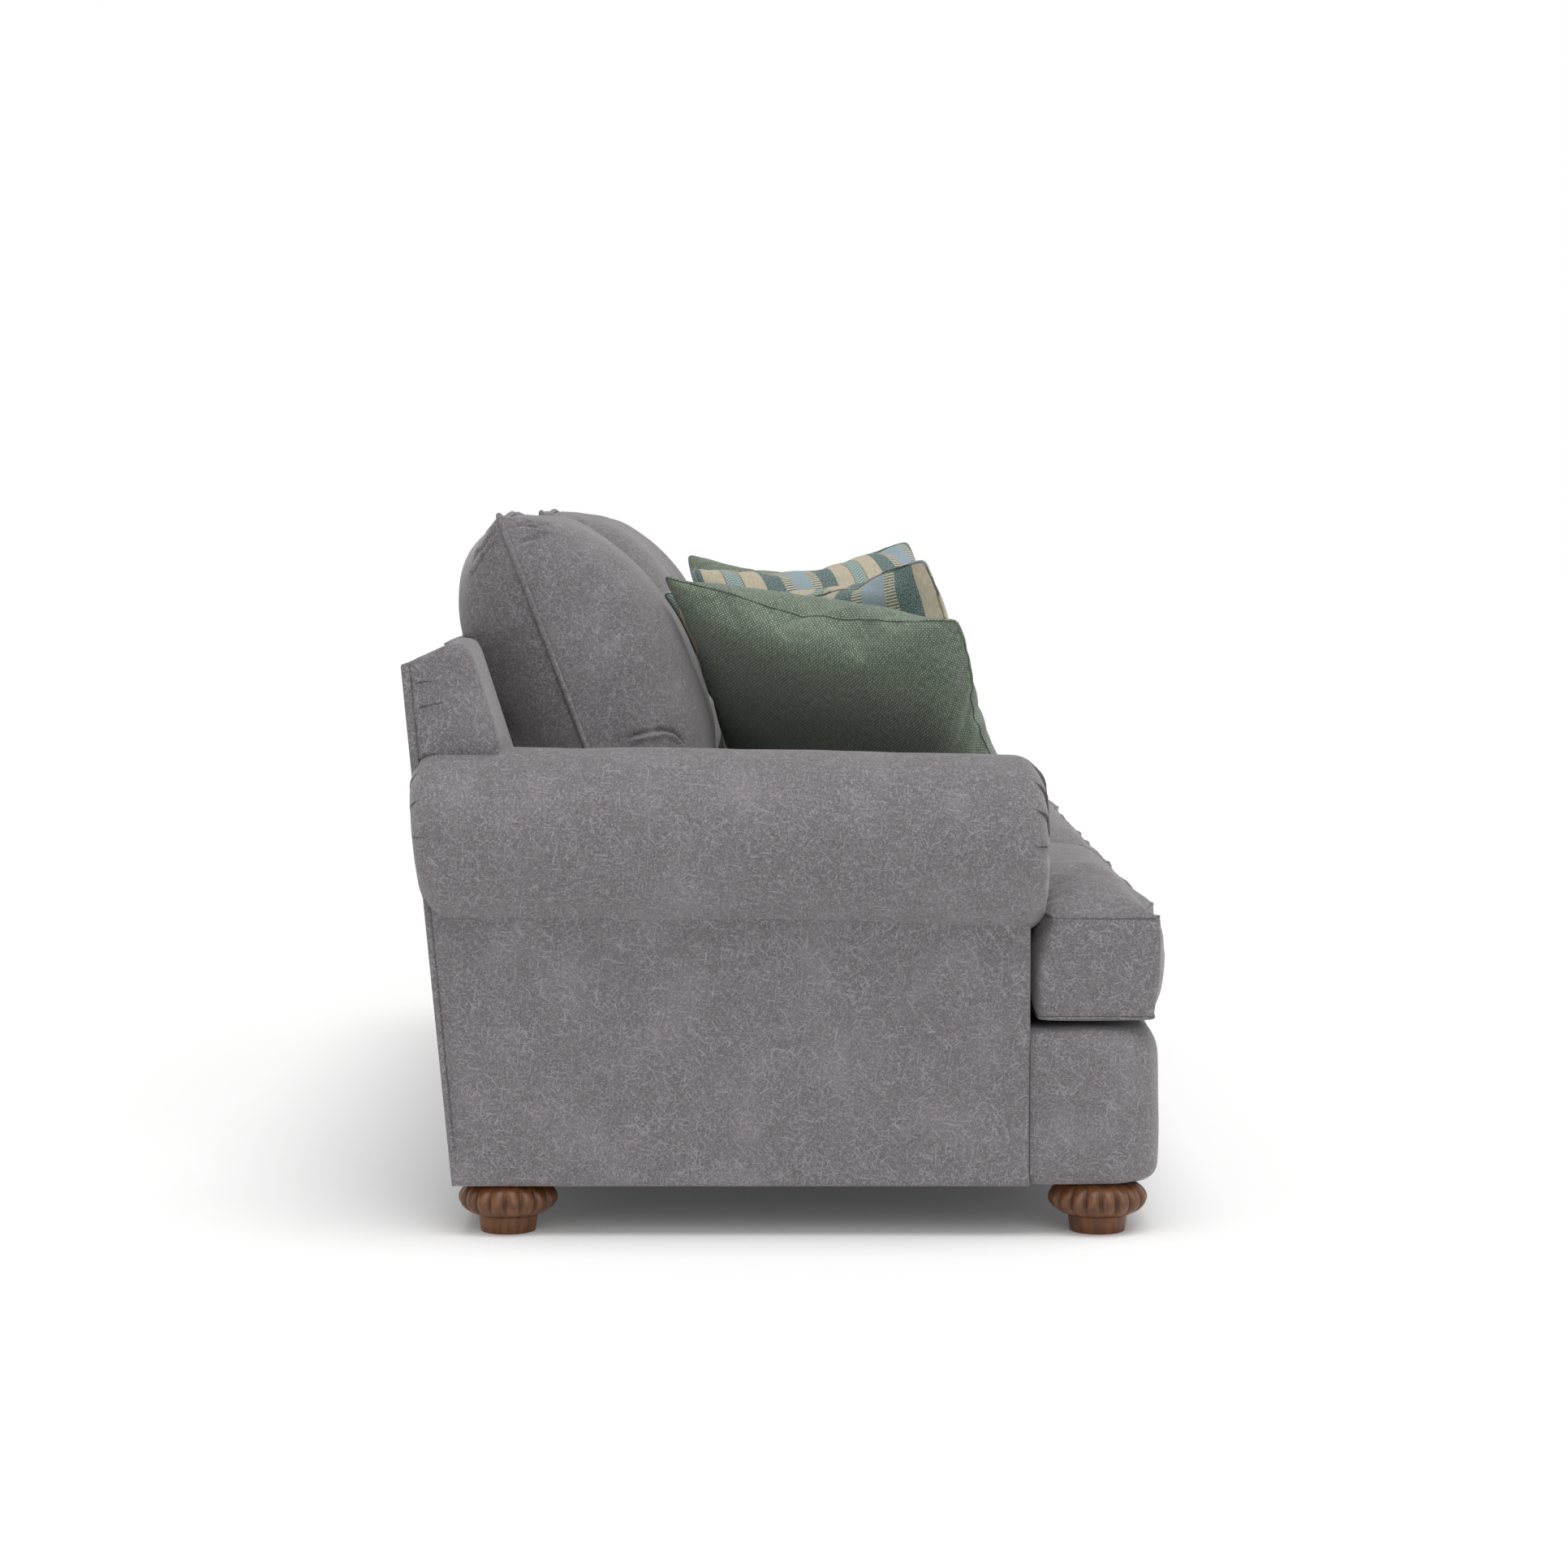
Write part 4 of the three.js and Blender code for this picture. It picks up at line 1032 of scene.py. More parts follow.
class SOFA_OT_arms(bpy.types.Operator):
    """Covers both roll arms and their outside panels"""

    bl_idname = "sofa.arms"
    bl_label = "Arms"

    def execute(self, context):
        m = measures()
        deck_low, deck_high = extent("seat_deck")
        inside, level, face, hem = (m[k] for k in ("arm_inside", "roll_level", "panel_face", "hem"))
        for side, sign in SIDES:
            upholster(roll_arm(m, side, sign), f"arm_cover_{side}")
            low, high = (0, m["arm_front"], deck_low[2]), (0, WALL_REAR, level)
            wall = slab(
                f"arm_wall_{side}", rectangle(low, high, 1, 2, sign * inside),
                (sign * PANEL_THICK, 0, 0), "upholstery", bulge=0.0, seed=21)
            upholster(wall, f"arm_cover_{side}")
            corners = [
                (sign * face, m["arm_front"], hem), (sign * face, rear_line(m, hem), hem),
                (sign * face, rear_line(m, level), level), (sign * face, m["arm_front"], level)]
            panel = slab(
                f"outside_arm_{side}_cloth", corners, (-sign * PANEL_THICK, 0, 0), "upholstery",
                bulge=0.002, seed=31 + sign)
            # A sewn seam near the rear edge, pressed in as a fold with painted shade along it.
            strip = [
                (sign * (face + 0.001), rear_line(m, z) - 0.009, z)
                for z in np.linspace(hem, level, 25)]
            crease(panel, strip, width=0.0034, depth=0.0016, lip=0.2)
            upholster(panel, f"outside_arm_{side}")
            low = (sign * (inside + 0.0143), 0, deck_high[2])
            high = (sign * (face - 0.004), 0, level)
            front = slab(
                f"arm_front_{side}", rectangle(low, high, 0, 2, m["arm_front"]),
                (0, PANEL_THICK, 0), "upholstery", bulge=0.0, seed=41)
            upholster(front, f"outside_arm_{side}")
        return {"FINISHED"}


BASE_CORNER = 0.066
BASE_EDGE = 0.022
BASE_ROUND = 0.038
BASE_DROP = 0.005


def base_cover():
    """The padded cover round the front rail, with rounded corners and edges."""
    low, high = extent("base_front")
    half, front, rear = high[0], low[1], high[1]

    def plan(inset):
        arc = np.radians(np.linspace(0, 90, 19))
        r = BASE_CORNER - inset
        corner = np.stack(
            [half - BASE_CORNER + r * np.sin(arc), front + BASE_CORNER - r * np.cos(arc)], axis=1)
        straight = np.linspace(-1, 1, 110)[1:-1] * (half - BASE_CORNER)
        side_y = np.linspace(front + BASE_CORNER, rear, 9)[1:]
        back = np.linspace(half - inset, inset - half, 60)[1:-1]
        side = np.stack([np.full(8, half - inset), side_y], axis=1)
        return np.vstack([
            side[::-1] * (-1, 1), corner[::-1] * (-1, 1),
            np.stack([straight, np.full(108, front + inset)], axis=1), corner, side,
            np.stack([back, np.full(58, rear)], axis=1)])

    top = high[2] - BASE_DROP
    angles = np.radians(np.linspace(0, 90, 9))
    insets = [BASE_EDGE * (1 - math.sin(a)) for a in angles]
    falls = [1 - math.cos(a) for a in angles]
    layers = [(inset, low[2] + BASE_EDGE * fall) for inset, fall in zip(insets, falls)]
    layers += [(0.0, z) for z in np.linspace(low[2] + BASE_EDGE, top - BASE_ROUND, 14)[1:-1]]
    layers += [(inset, top - BASE_ROUND * fall) for inset, fall in zip(insets[::-1], falls[::-1])]
    rings = [np.insert(plan(inset), 2, z, axis=1) for inset, z in layers]
    sides = len(rings[0])
    faces = quads(len(rings), sides)
    points = np.vstack([*rings, rings[0].mean(axis=0), rings[-1].mean(axis=0)])
    for middle, start in ((len(points) - 2, 0), (len(points) - 1, (len(rings) - 1) * sides)):
        faces += [(middle, start + i, start + (i + 1) % sides) for i in range(sides)]
    piece = facing_out(new_object("base_front_cloth", points, faces, "upholstery"))
    front_share = np.clip((rear - points[:, 1]) / 0.1, 0, 1)
    rise = 2 * (points[:, 2] - low[2]) / (high[2] - low[2]) - 1
    full = 0.0045 * (1 - rise ** 4)
    broad, fine = waves(points, 0.25, 51), waves(points, 0.08, 52)
    puff(piece, front_share * (full + 0.0014 * broad + 0.0005 * fine))
    return piece


class SOFA_OT_base(bpy.types.Operator):
    """Covers the base front, the deck and the underside"""

    bl_idname = "sofa.base"
    bl_label = "Base"

    def execute(self, context):
        upholster(base_cover(), "base_front")
        low, high = extent("seat_deck")
        deck = slab(
            "seat_deck_cloth", rectangle(low, high, 0, 1, high[2]), (0, 0, low[2] - high[2]),
            "decking", bulge=0.0, step=0.03, seed=61)
        dress(deck, "root", "lining", "seat_deck")
        low, high = extent("dust_cover")
        us, vs = np.linspace(low[0], high[0], 90), np.linspace(low[1], high[1], 40)
        points = np.array([(x, y, 0.0) for y in vs for x in us])
        sag = (1 - (points[:, 0] / high[0]) ** 6) * (1 - (points[:, 1] / high[1]) ** 4)
        points[:, 2] = high[2] - 0.0006 - 0.0022 * np.clip(sag, 0, 1)
        faces = [
            (r * 90 + c, r * 90 + c + 1, (r + 1) * 90 + c + 1, (r + 1) * 90 + c)
            for r in range(39) for c in range(89)]
        cover = new_object("dust_cover_cloth", points, faces, "lining")
        dress(cover, "root", "lining", "dust_cover")
        return {"FINISHED"}


BACK_THICK = 0.012
BACK_TOP_DEPTH = 0.057
BACK_TOP_RISE = 0.026
# Small folds on the ends of the back: the height, length and rise of each.
END_FOLDS = ((0.748, 0.026, 0.010), (0.716, 0.042, 0.013))


class SOFA_OT_back(bpy.types.Operator):
    """Covers the inside, the ends, the top and the outside of the back"""

    bl_idname = "sofa.back"
    bl_label = "Back"

    def execute(self, context):
        m = measures()
        end = extent("inside_back")[1][0]
        inside = skin_of(
            "inside_back", "inside_back_cloth", edge=0.006, rounds=8, slot="upholstery")
        points = places(inside)
        behind = rear_line(m, points[:, 2]) - points[:, 1]
        outer = np.clip((np.abs(points[:, 0]) - end + 0.06) / 0.03, 0, 1)
        blunt(inside, outer * np.clip((behind - 0.055) / 0.03, 0, 1), rounds=24)
        puff(inside, 0.0010 * waves(places(inside), 0.2, 71))
        for side, _ in SIDES:
            arm = context.scene.objects[f"arm_{side}"]
            settle_on(inside, arm, behind > 0.035, reach=0.014, press=0.006)
        for sign in (-1, 1):
            for z, run, rise in END_FOLDS:
                line = [
                    (sign * (end + 0.0005), rear_line(m, z) - 0.013 - run * t,
                     z + rise * t - 0.004 * t * t)
                    for t in np.linspace(0, 1, 7)]
                crease(inside, line, width=0.0024, depth=0.0022, lip=0.6)
        low, high = extent("outside_back")
        rear = rear_line(m, high[2])
        foot, head = m["rear_foot"], rear - 0.004 * LEAN
        outside = slab(
            "outside_back_cloth",
            [(low[0], foot, low[2]), (high[0], foot, low[2]),
             (high[0], head, high[2] - 0.003), (low[0], head, high[2] - 0.003)],
            (0, -BACK_THICK, 0.001), "upholstery", bulge=0.0015, step=0.025, seed=81)
        top = slab(
            "back_top_cloth",
            [(side * (end - 0.004), rear - 0.005 - BACK_TOP_DEPTH * into,
              high[2] - 0.0035 + BACK_TOP_RISE * into)
             for side, into in ((-1, 0), (1, 0), (1, 1), (-1, 1))],
            (0, -0.004, -0.007), "upholstery", bulge=0.002, step=0.02, seed=83)
        upholster(inside, "inside_back")
        upholster(top, "inside_back")
        upholster(outside, "outside_back")
        return {"FINISHED"}


# Loose cushions

SEAT_SIDE = 0.141
SEAT_SAG = 0.008
SEAT_CROWN = 0.044
PLATEAU = 0.72
EAR_TUCK = 0.024
WELT_CLEAR = (0.0004, 0.0008)


def seat_form(side):
    """The rest shape of a seat cushion, and the lines of its top and bottom welts."""
    m = measures()
    low, high = extent(f"seat_cushion_{side}")
    ear = {"right": -1, "middle": 0, "left": 1}[side]
    inside = m["arm_inside"] - 0.003
    left = -inside if ear < 0 else low[0]
    right = inside if ear > 0 else high[0]
    outer = high[0] - right if ear > 0 else left - low[0]
    front, rear = low[1] + 0.004, high[1]
    depth = rear - front
    ear_back = 2 * (m["arm_front"] - 0.010 - front) / depth - 1
    bottom = low[2] + SEAT_SAG
    middle = bottom + SEAT_SIDE / 2
    columns = even(64)
    rows = np.concatenate([
        np.linspace(-1, ear_back, 16), np.linspace(ear_back + 0.004, 1, 52)])

    def warp(points):
        u, v, w = points.T
        ahead = v <= ear_back + 1e-6
        x0 = left - np.where(ahead & (ear < 0), outer, 0)
        x1 = right + np.where(ahead & (ear > 0), outer, 0)
        at_corner = (
            np.clip((np.abs(u) - 0.82) / 0.18, 0, 1) * np.clip((-v - 0.88) / 0.12, 0, 1)) ** 2
        drawn = np.where(ahead, 0, 0.005 * (1 - v * v)) + 0.005 * at_corner
        x = (x0 + x1) / 2 + (x1 - x0) / 2 * u - np.sign(u) * np.abs(u) ** 3 * drawn
        bow = np.where(v < 0, 0.004 * (1 - u * u) * np.abs(v) ** 3, 0)
        tuck = np.where(np.abs(v - ear_back) < 1e-6, np.maximum(0, w) * EAR_TUCK, 0)
        near_front = np.clip((-v - 0.9) / 0.1, 0, 1)
        bulge = near_front * ((1 - w * w) * 0.004 - 0.0045 * (1 - w))
        y = front + depth * (v + 1) / 2 - bow - tuck - bulge + 0.003 * at_corner
        fall = np.maximum(0, np.abs(v) - PLATEAU) / (1 - PLATEAU)
        crown = (1 - np.abs(u) ** 4) * (1 - fall ** 2.4)
        z = middle + (SEAT_SIDE / 2 + np.where(w > 0, SEAT_CROWN, SEAT_SAG) * crown) * w
        z -= np.maximum(0, -w) * 0.005 * (v < -0.6) * (1 - u ** 8) * (1 - fall ** 3)
        side_bulge = 0.004 * (1 - w * w) * np.abs(u) ** 12 * (1 - at_corner)
        x += ear * side_bulge * (ahead & (np.sign(u) == ear))
        return np.stack([x, y, z], axis=1)

    grid, faces = lattice(columns, rows, np.linspace(-1, 1, 17))
    rim = rim_of(columns, rows)
    welts = [warp(np.array([(u, v, w) for u, v in rim])) for w in (1.0, -1.0)]
    return warp(grid), faces, welts


def seat_reach(points, side):
    """How far each point of a seat cushion may swell: little where something lies against it."""
    low, high = extent(f"seat_cushion_{side}")
    across = points[:, 0]
    wall = np.min(np.abs([
        across - low[0], across - high[0], np.abs(across) - measures()["arm_inside"]]), axis=0)
    return np.minimum.reduce([
        np.full(len(points), sizes().swell),
        0.0008 + 0.25 * np.clip(points[:, 2] - low[2] - SEAT_SAG, 0, 1),
        0.0010 + 0.2 * np.clip(wall - 0.004, 0, 1),
        0.0010 + 0.3 * np.clip(high[1] - points[:, 1], 0, 1)])


class SOFA_OT_seats(bpy.types.Operator):
    """Fills the three seat cushions and sews their welts"""

    bl_idname = "sofa.seats"
    bl_label = "Seat cushions"

    def execute(self, context):
        cushions = []
        for side in SEATS:
            points, faces, welts = seat_form(side)
            piece = new_object(f"seat_cushion_{side}_cover", points, faces, "upholstery")
            soften(piece, sizes().voxel * 0.85, 3, "upholstery")
            cushions.append((side, piece, welts, places(piece)))
        fill([c[1] for c in cushions], sizes().pressure, sizes().frames)
        for number, (side, piece, welts, before) in enumerate(cushions):
            reach = seat_reach(before, side)
            after = held(before, places(piece), reach)
            move_to(piece, after)
            broad, fine = waves(after, 0.19, 91 + number), waves(after, 0.07, 95 + number)
            dimple = 0.0022 * broad + 0.0009 * fine
            top = before[:, 2] > before[:, 2].mean()
            puff(piece, np.where(top, dimple, 0.2 * dimple) * np.clip(reach / 0.01, 0, 1))
            after = places(piece)
            body = f"seat_cushion_{side}"
            tree = tree_of(piece)
            for level, clear, welt in zip(("top", "bottom"), WELT_CLEAR, welts):
                line = smoothed_line(carried(resampled(welt, 0.005), before, after), 5)
                line = np.array([tuple(tree.find_nearest(Vector(p))[0]) for p in line])
                line = smoothed_line(line, 3)
                out = (line - line.mean(axis=0)) * (1, 1, 0)
                line += clear * out / np.linalg.norm(out, axis=1)[:, None]
                line[:, 2] += 0.0009 * waves(line, 0.10, 101 + number)
                cord = tube(
                    f"seat_welt_{side}_{level}", line, sizes().seat_welt, "upholstery", piece)
                dress(cord, body, "upholstery")
            dress(piece, body, "upholstery", body)
        return {"FINISHED"}


BACK_LEAN = math.radians(20.4)
BACK_TALL = 0.538
BACK_FRONT = 0.160
BACK_REAR = 0.117
BACK_OVER = 0.013
BACK_CROWN = 0.010
BACK_PLACES = {"right": (0.0, 0.0), "middle": (-0.020, 0.007), "left": (-0.008, 0.003)}
BACK_SEAM = 0.008


def back_form(side):
    """The rest shape of a back cushion and the line of its welt."""
    low, high = extent(f"back_cushion_{side}")
    middle, half = (low[0] + high[0]) / 2, (high[0] - low[0]) / 2
    sine, cosine = math.sin(BACK_LEAN), math.cos(BACK_LEAN)
    ahead, rise = BACK_PLACES[side]

    def warp(points, ahead=ahead):
        u, t, v = points.T
        forward = t < 0
        power = np.where((v > 0) & forward, 2, 4)
        full = ((1 - u ** 6) * (1 - np.abs(v) ** power)) ** 0.68
        out = t * (BACK_SEAM / 2 + np.where(forward, BACK_FRONT, BACK_REAR) * full)
        up = (v + 1) / 2 * BACK_TALL + BACK_CROWN * (1 - u * u) * np.maximum(0, v) ** 4
        settle = np.where(forward, np.maximum(0, -v) ** 3 * sine * out, 0)
        y = up * sine + out * cosine + ahead * np.maximum(-1, (v - 0.3) / 0.7)
        z = up * cosine - out * sine + settle
        drawn = 1 - 0.03 * (1 - v * v)
        return np.stack([middle + half * u * drawn, y, z], axis=1)

    us, vs = np.linspace(-1, 1, 51), np.linspace(-1, 1, 47)
    grid, faces = lattice(us, (-1.0, 1.0), vs)
    points = warp(grid)
    rearmost = warp(grid, 0.0)[:, 1].max()
    shift = np.array([0.0, high[1] + BACK_OVER - rearmost, high[2] + rise - points[:, 2].max()])
    welt = warp(np.array([(u, 0.0, v) for u, v in rim_of(us, vs)]))
    return points + shift, faces, welt + shift, grid


# Folds at the top corners: the panel, then where each starts, stops and how far it runs.
CORNER_FOLDS = (
    (-1, 0.950, 0.885, 0.10), (-1, 0.905, 0.850, 0.17), (-1, 0.845, 0.820, 0.09),
    (1, 0.935, 0.840, 0.13), (1, 0.880, 0.760, 0.17))


def corner_folds(grid, points):
    """Lines of the small folds that run in from the top corners of a back cushion."""
    lines = []
    for sign in (-1, 1):
        for panel, start, stop, run in CORNER_FOLDS:
            line = []
            for share in np.linspace(0, 1, 7):
                wanted = (sign * (0.985 - run * share), panel, start + (stop - start) * share)
                line.append(int(np.argmin(((grid - wanted) ** 2).sum(axis=1))))
            lines.append(points[list(dict.fromkeys(line))])
    return lines


# Where the lower front of a cushion is pinched, as Y and Z on its side.
PINCHES = {"right": (
    (0.239, 0.662), (0.206, 0.671), (0.172, 0.677),
    (0.154, 0.6725), (0.1437, 0.662), (0.1357, 0.6485))}


def on_side(piece, marks):
    """Marks on a side view, put on the side of a piece."""
    tree = tree_of(piece)
    low = places(piece).min(axis=0)
    found = [tree.ray_cast(Vector((low[0] - 0.1, y, z)), Vector((1, 0, 0)))[0] for y, z in marks]
    return np.array([tuple(spot) for spot in found if spot is not None])


class SOFA_OT_back_cushions(bpy.types.Operator):
    """Fills the three back cushions, sews their welts and presses them into place"""

    bl_idname = "sofa.back_cushions"
    bl_label = "Back cushions"

    def execute(self, context):
        cushions = []
        for side in SEATS:
            points, faces, welt, grid = back_form(side)
            piece = new_object(f"back_cushion_{side}_cover", points, faces, "upholstery")
            cushions.append((side, piece, welt, grid, points))
        fill([c[1] for c in cushions], sizes().pressure, sizes().frames)
        for number, (side, piece, welt, grid, before) in enumerate(cushions):
            body = f"back_cushion_{side}"
            low, high = extent(body)
            wall = np.minimum(before[:, 0] - low[0], high[0] - before[:, 0])
            reach = np.minimum.reduce([
                np.full(len(before), sizes().swell),
                0.0015 + 0.4 * np.clip(wall - 0.01, 0, 1),
                0.0015 + 0.25 * np.clip(high[1] - before[:, 1], 0, 1),
                0.0015 + 0.3 * np.clip(before[:, 2] - low[2] - 0.03, 0, 1)])
            after = held(before, places(piece), reach)
            move_to(piece, after)
            broad, fine = waves(after, 0.24, 121 + number), waves(after, 0.08, 125 + number)
            puff(piece, (0.0030 * broad + 0.0010 * fine) * np.clip(wall / 0.05, 0, 1))
            make_way(piece, ["inside_back_cloth", *ARMS, *SEAT_COVERS])
            after = places(piece)
            line = smoothed_line(carried(resampled(welt, 0.005), before, after), 4)
            out = line - line.mean(axis=0)
            line += 0.0022 * out / np.linalg.norm(out, axis=1)[:, None]
            for fold in corner_folds(grid, after):
                crease(piece, fold, width=0.0042, depth=0.0030, shade=0.35)
            if side in PINCHES:
                pinch = on_side(piece, PINCHES[side])
                crease(piece, pinch, width=0.0050, depth=0.0060, lip=0.6)
            subdivide(piece)
            cord = tube(f"back_welt_{side}", line, sizes().back_welt, "upholstery", piece)
            dress(cord, body, "upholstery")
            dress(piece, body, "upholstery", body)
        return {"FINISHED"}


# Toss pillows

# How each is turned, leaning and spun in degrees, and how far it lies from its solid's middle.
PILLOWS = {
    ("green", "right"): (34, 45, 10.7, (-0.001, -0.002, 0.010)),
    ("green", "left"): (30.5, 38.5, 9.8, (0.0, 0.018, 0.008)),
    ("striped", "right"): (30, 26.5, -7, (0.001, 0.020, -0.007)),
    ("striped", "left"): (28.5, 25, -6.6, (0.0, 0.005, 0.011)),
}
WEAVES = {"green": "green_weave", "striped": "stripe_weave"}
PILLOW_SIZE = 0.457
PILLOW_DEPTH = 0.066
STRIPE_START = {"right": 0.0945, "left": 0.050}
PILLOW_PRESSURE = 5.0
PILLOW_FRAMES = 11
PILLOW_STEPS = np.linspace(-1, 1, 59)


def pillow_seam(points, grid):
    """The line where the two squares of a pillow meet."""
    edge = {}
    for (u, _, v), point in zip(grid, points):
        if 1 in (abs(u), abs(v)):
            edge.setdefault((u, v), []).append(point)
    line = [np.mean(edge[place], axis=0) for place in rim_of(PILLOW_STEPS, PILLOW_STEPS)]
    return smoothed_line(resampled(np.array(line), 0.004), 3)


def pillow_axes(kind, side, sign):
    """The width, thickness and height of a pillow as directions of the room."""
    turn, tip, spin = (math.radians(a) for a in PILLOWS[kind, side][:3])
    along = Vector((-math.sin(turn), -math.cos(turn), 0))
    outward = Vector((-math.cos(turn), math.sin(turn), 0))
    up = Vector((0, 0, math.cos(tip))) + outward * math.sin(tip)
    wide = along * math.cos(spin) - up * math.sin(spin)
    tall = up * math.cos(spin) + along * math.sin(spin)
    for axis in (wide, tall):
        axis.x *= -sign
    thick = tall.cross(wide)
    return np.array([wide, thick, tall])


def pillow_cover(name, slot, seed):
    """Two flat squares of cloth sewn round their edges, barely apart."""
    grid, faces = lattice(PILLOW_STEPS, (-1.0, 1.0), PILLOW_STEPS)
    u, t, v = grid.T
    cut = PILLOW_SIZE / 2 * 1.035 * (1 - 0.028 * (u * v) ** 6)
    bulge = ((1 - u * u) * (1 - v * v)) ** 0.5
    points = np.stack([cut * u, t * (0.002 + 0.030 * bulge), cut * v], axis=1)
    points[:, 1] += 0.0012 * waves(points, 0.06, seed) + 0.0040 * waves(points, 0.13, seed + 7)
    return new_object(name, points, faces, slot), grid


def pillow_to_size(points, grid):
    """Scales a filled pillow to its finished size and thickness."""
    u, t, v = grid.T
    low, high = points.min(0), points.max(0)
    wanted = np.array([PILLOW_SIZE, 2 * PILLOW_DEPTH, PILLOW_SIZE])
    points = (points - (low + high) / 2) * wanted / (high - low)
    points[:, 2] -= 0.013 * (1 - u * u) * np.clip(v, 0, 1) ** 2
    points[:, 0] += 0.011 * (1 - v * v) * np.clip(u, 0, 1) ** 2
    return points


class SOFA_OT_pillows(bpy.types.Operator):
    """Fills the four toss pillows, sews their welts and leans them in the corners"""

    bl_idname = "sofa.pillows"
    bl_label = "Toss pillows"

    def execute(self, context):
        pillows = []
        for kind in WEAVES:
            for side, sign in SIDES:
                piece, grid = pillow_cover(
                    f"pillow_{kind}_{side}_cover", WEAVES[kind], 131 + len(pillows))
                pillows.append((kind, side, sign, piece, grid))
        fill([p[3] for p in pillows], PILLOW_PRESSURE, PILLOW_FRAMES)
        for kind, side, sign, piece, grid in pillows:
            slot, body = WEAVES[kind], f"pillow_{kind}_{side}"
            points = places(piece)
            middle = sum(extent(body)) / 2 + PILLOWS[kind, side][3]
            points = pillow_to_size(points, grid) @ pillow_axes(kind, side, sign) + middle
            move_to(piece, points)
            flat = PILLOW_SIZE / 2 * grid[:, (0, 2, 1)] * (1, 1, 0) + (STRIPE_START[side], 0, 0)
            store(piece, "cloth", flat)
            beside = [f"pillow_green_{side}_cover"] if kind == "striped" else []
            make_way(piece, [*SEAT_COVERS, *BACK_COVERS, *ARMS, *beside], reach=0.12)
            line = pillow_seam(places(piece), grid)
            subdivide(piece)
            cord = tube(f"pillow_welt_{kind}_{side}", line, sizes().pillow_welt, slot, piece, 8)
            dress(cord, body, slot)
            dress(piece, body, slot, body)
        return {"FINISHED"}


# Feet

LOBES = 18
FOOT_RADIUS = 0.068
FOOT_BLOCK = 0.024
FOOT_NECK = 0.041
FOOT_TOE = 0.0375
FOOT_TOP = 0.044
LOBE_DEPTH = 0.0069
TOE_ROUND = 0.0015


def bun_foot(name, x, y, hem):
    """A gadrooned bun on a plain tapered block."""
    bun = hem - 0.0003 - FOOT_BLOCK
    sides = LOBES * 14
    angles = np.linspace(0, 2 * math.pi, sides, endpoint=False)
    groove = (1 - np.abs(np.sin(angles * LOBES / 2))) ** 1.15
    profile = [(0.0, 0.0, 0), (FOOT_TOE * 0.6, 0.0, 0), (FOOT_TOE - TOE_ROUND, 0.0, 0)]
    for a in np.radians((30, 60, 90)):
        profile.append((FOOT_TOE - TOE_ROUND * (1 - math.sin(a)), TOE_ROUND * (1 - math.cos(a)), 0))
    for share in (0.3, 0.6, 0.9, 0.985):
        radius = FOOT_TOE + (FOOT_NECK - FOOT_TOE) * share
        profile.append((radius, TOE_ROUND + (FOOT_BLOCK - TOE_ROUND) * share, 0))
    profile.append((FOOT_NECK - 0.0016, FOOT_BLOCK, 0))
    for share in np.concatenate([[0.004, 0.02, 0.05], np.linspace(0.09, 0.95, 26), [0.98, 1.0]]):
        edge = FOOT_NECK + (FOOT_TOP - FOOT_NECK) * share
        radius = edge + (FOOT_RADIUS - edge) * max(0.0, math.sin(math.pi * share)) ** 0.62
        profile.append((radius, FOOT_BLOCK + bun * share, share))
    profile.append((0.0, FOOT_BLOCK + bun, 0))
    points, groove_shade = [], []
    for radius, z, share in profile:
        swell = math.sin(math.pi * share) if 0 < share < 1 else 0.0
        r = np.maximum(radius - LOBE_DEPTH * groove * swell ** 0.8, 0.0)
        ring = [x + r * np.cos(angles), y + r * np.sin(angles), np.full(sides, z)]
        points.append(np.stack(ring, axis=1))
        # Painted shade: darker deep in each groove and just above the block, where the bun meets it.
        groove_shade.append(np.clip(groove * swell * 1.4 - 0.35, 0, 1) + 0.5 * (0.0 < share < 0.03))
    piece = new_object(name, np.vstack(points), quads(len(profile), sides), "walnut")
    store(piece, "groove", np.clip(np.concatenate(groove_shade), 0, 1))
    with edited(piece) as mesh:
        bmesh.ops.remove_doubles(mesh, verts=mesh.verts, dist=1e-6)
    return facing_out(piece)


class SOFA_OT_feet(bpy.types.Operator):
    """Turns and carves the four bun feet"""

    bl_idname = "sofa.feet"
    bl_label = "Feet"

    def execute(self, context):
        hem = measures()["hem"]
        for end in ("front", "rear"):
            for side, _ in SIDES:
                low, high = extent(f"foot_{end}_{side}")
                x, y = (low[:2] + high[:2]) / 2
                foot = bun_foot(f"foot_{end}_{side}_turned", x, y, hem)
                dress(foot, "root", "walnut", f"foot_{end}_{side}")
        return {"FINISHED"}


class SOFA_OT_frame(bpy.types.Operator):
    """Gives the hardwood frame, springs and bolts their finishes"""

    bl_idname = "sofa.frame"
    bl_label = "Frame and springs"

    def execute(self, context):
        slots = {row["node"]: row["material_slot"] for row in frame["record"]["subparts"]}
        for name, node in frame["nodes"].items():
            if node.hide_render:
                continue
            node.data.materials.clear()
            node.data.materials.append(finish_of(slots[name]))
        return {"FINISHED"}


# Studio

FLOOR_REACH = 60.0
SENSOR = 36
PICTURE = 1932


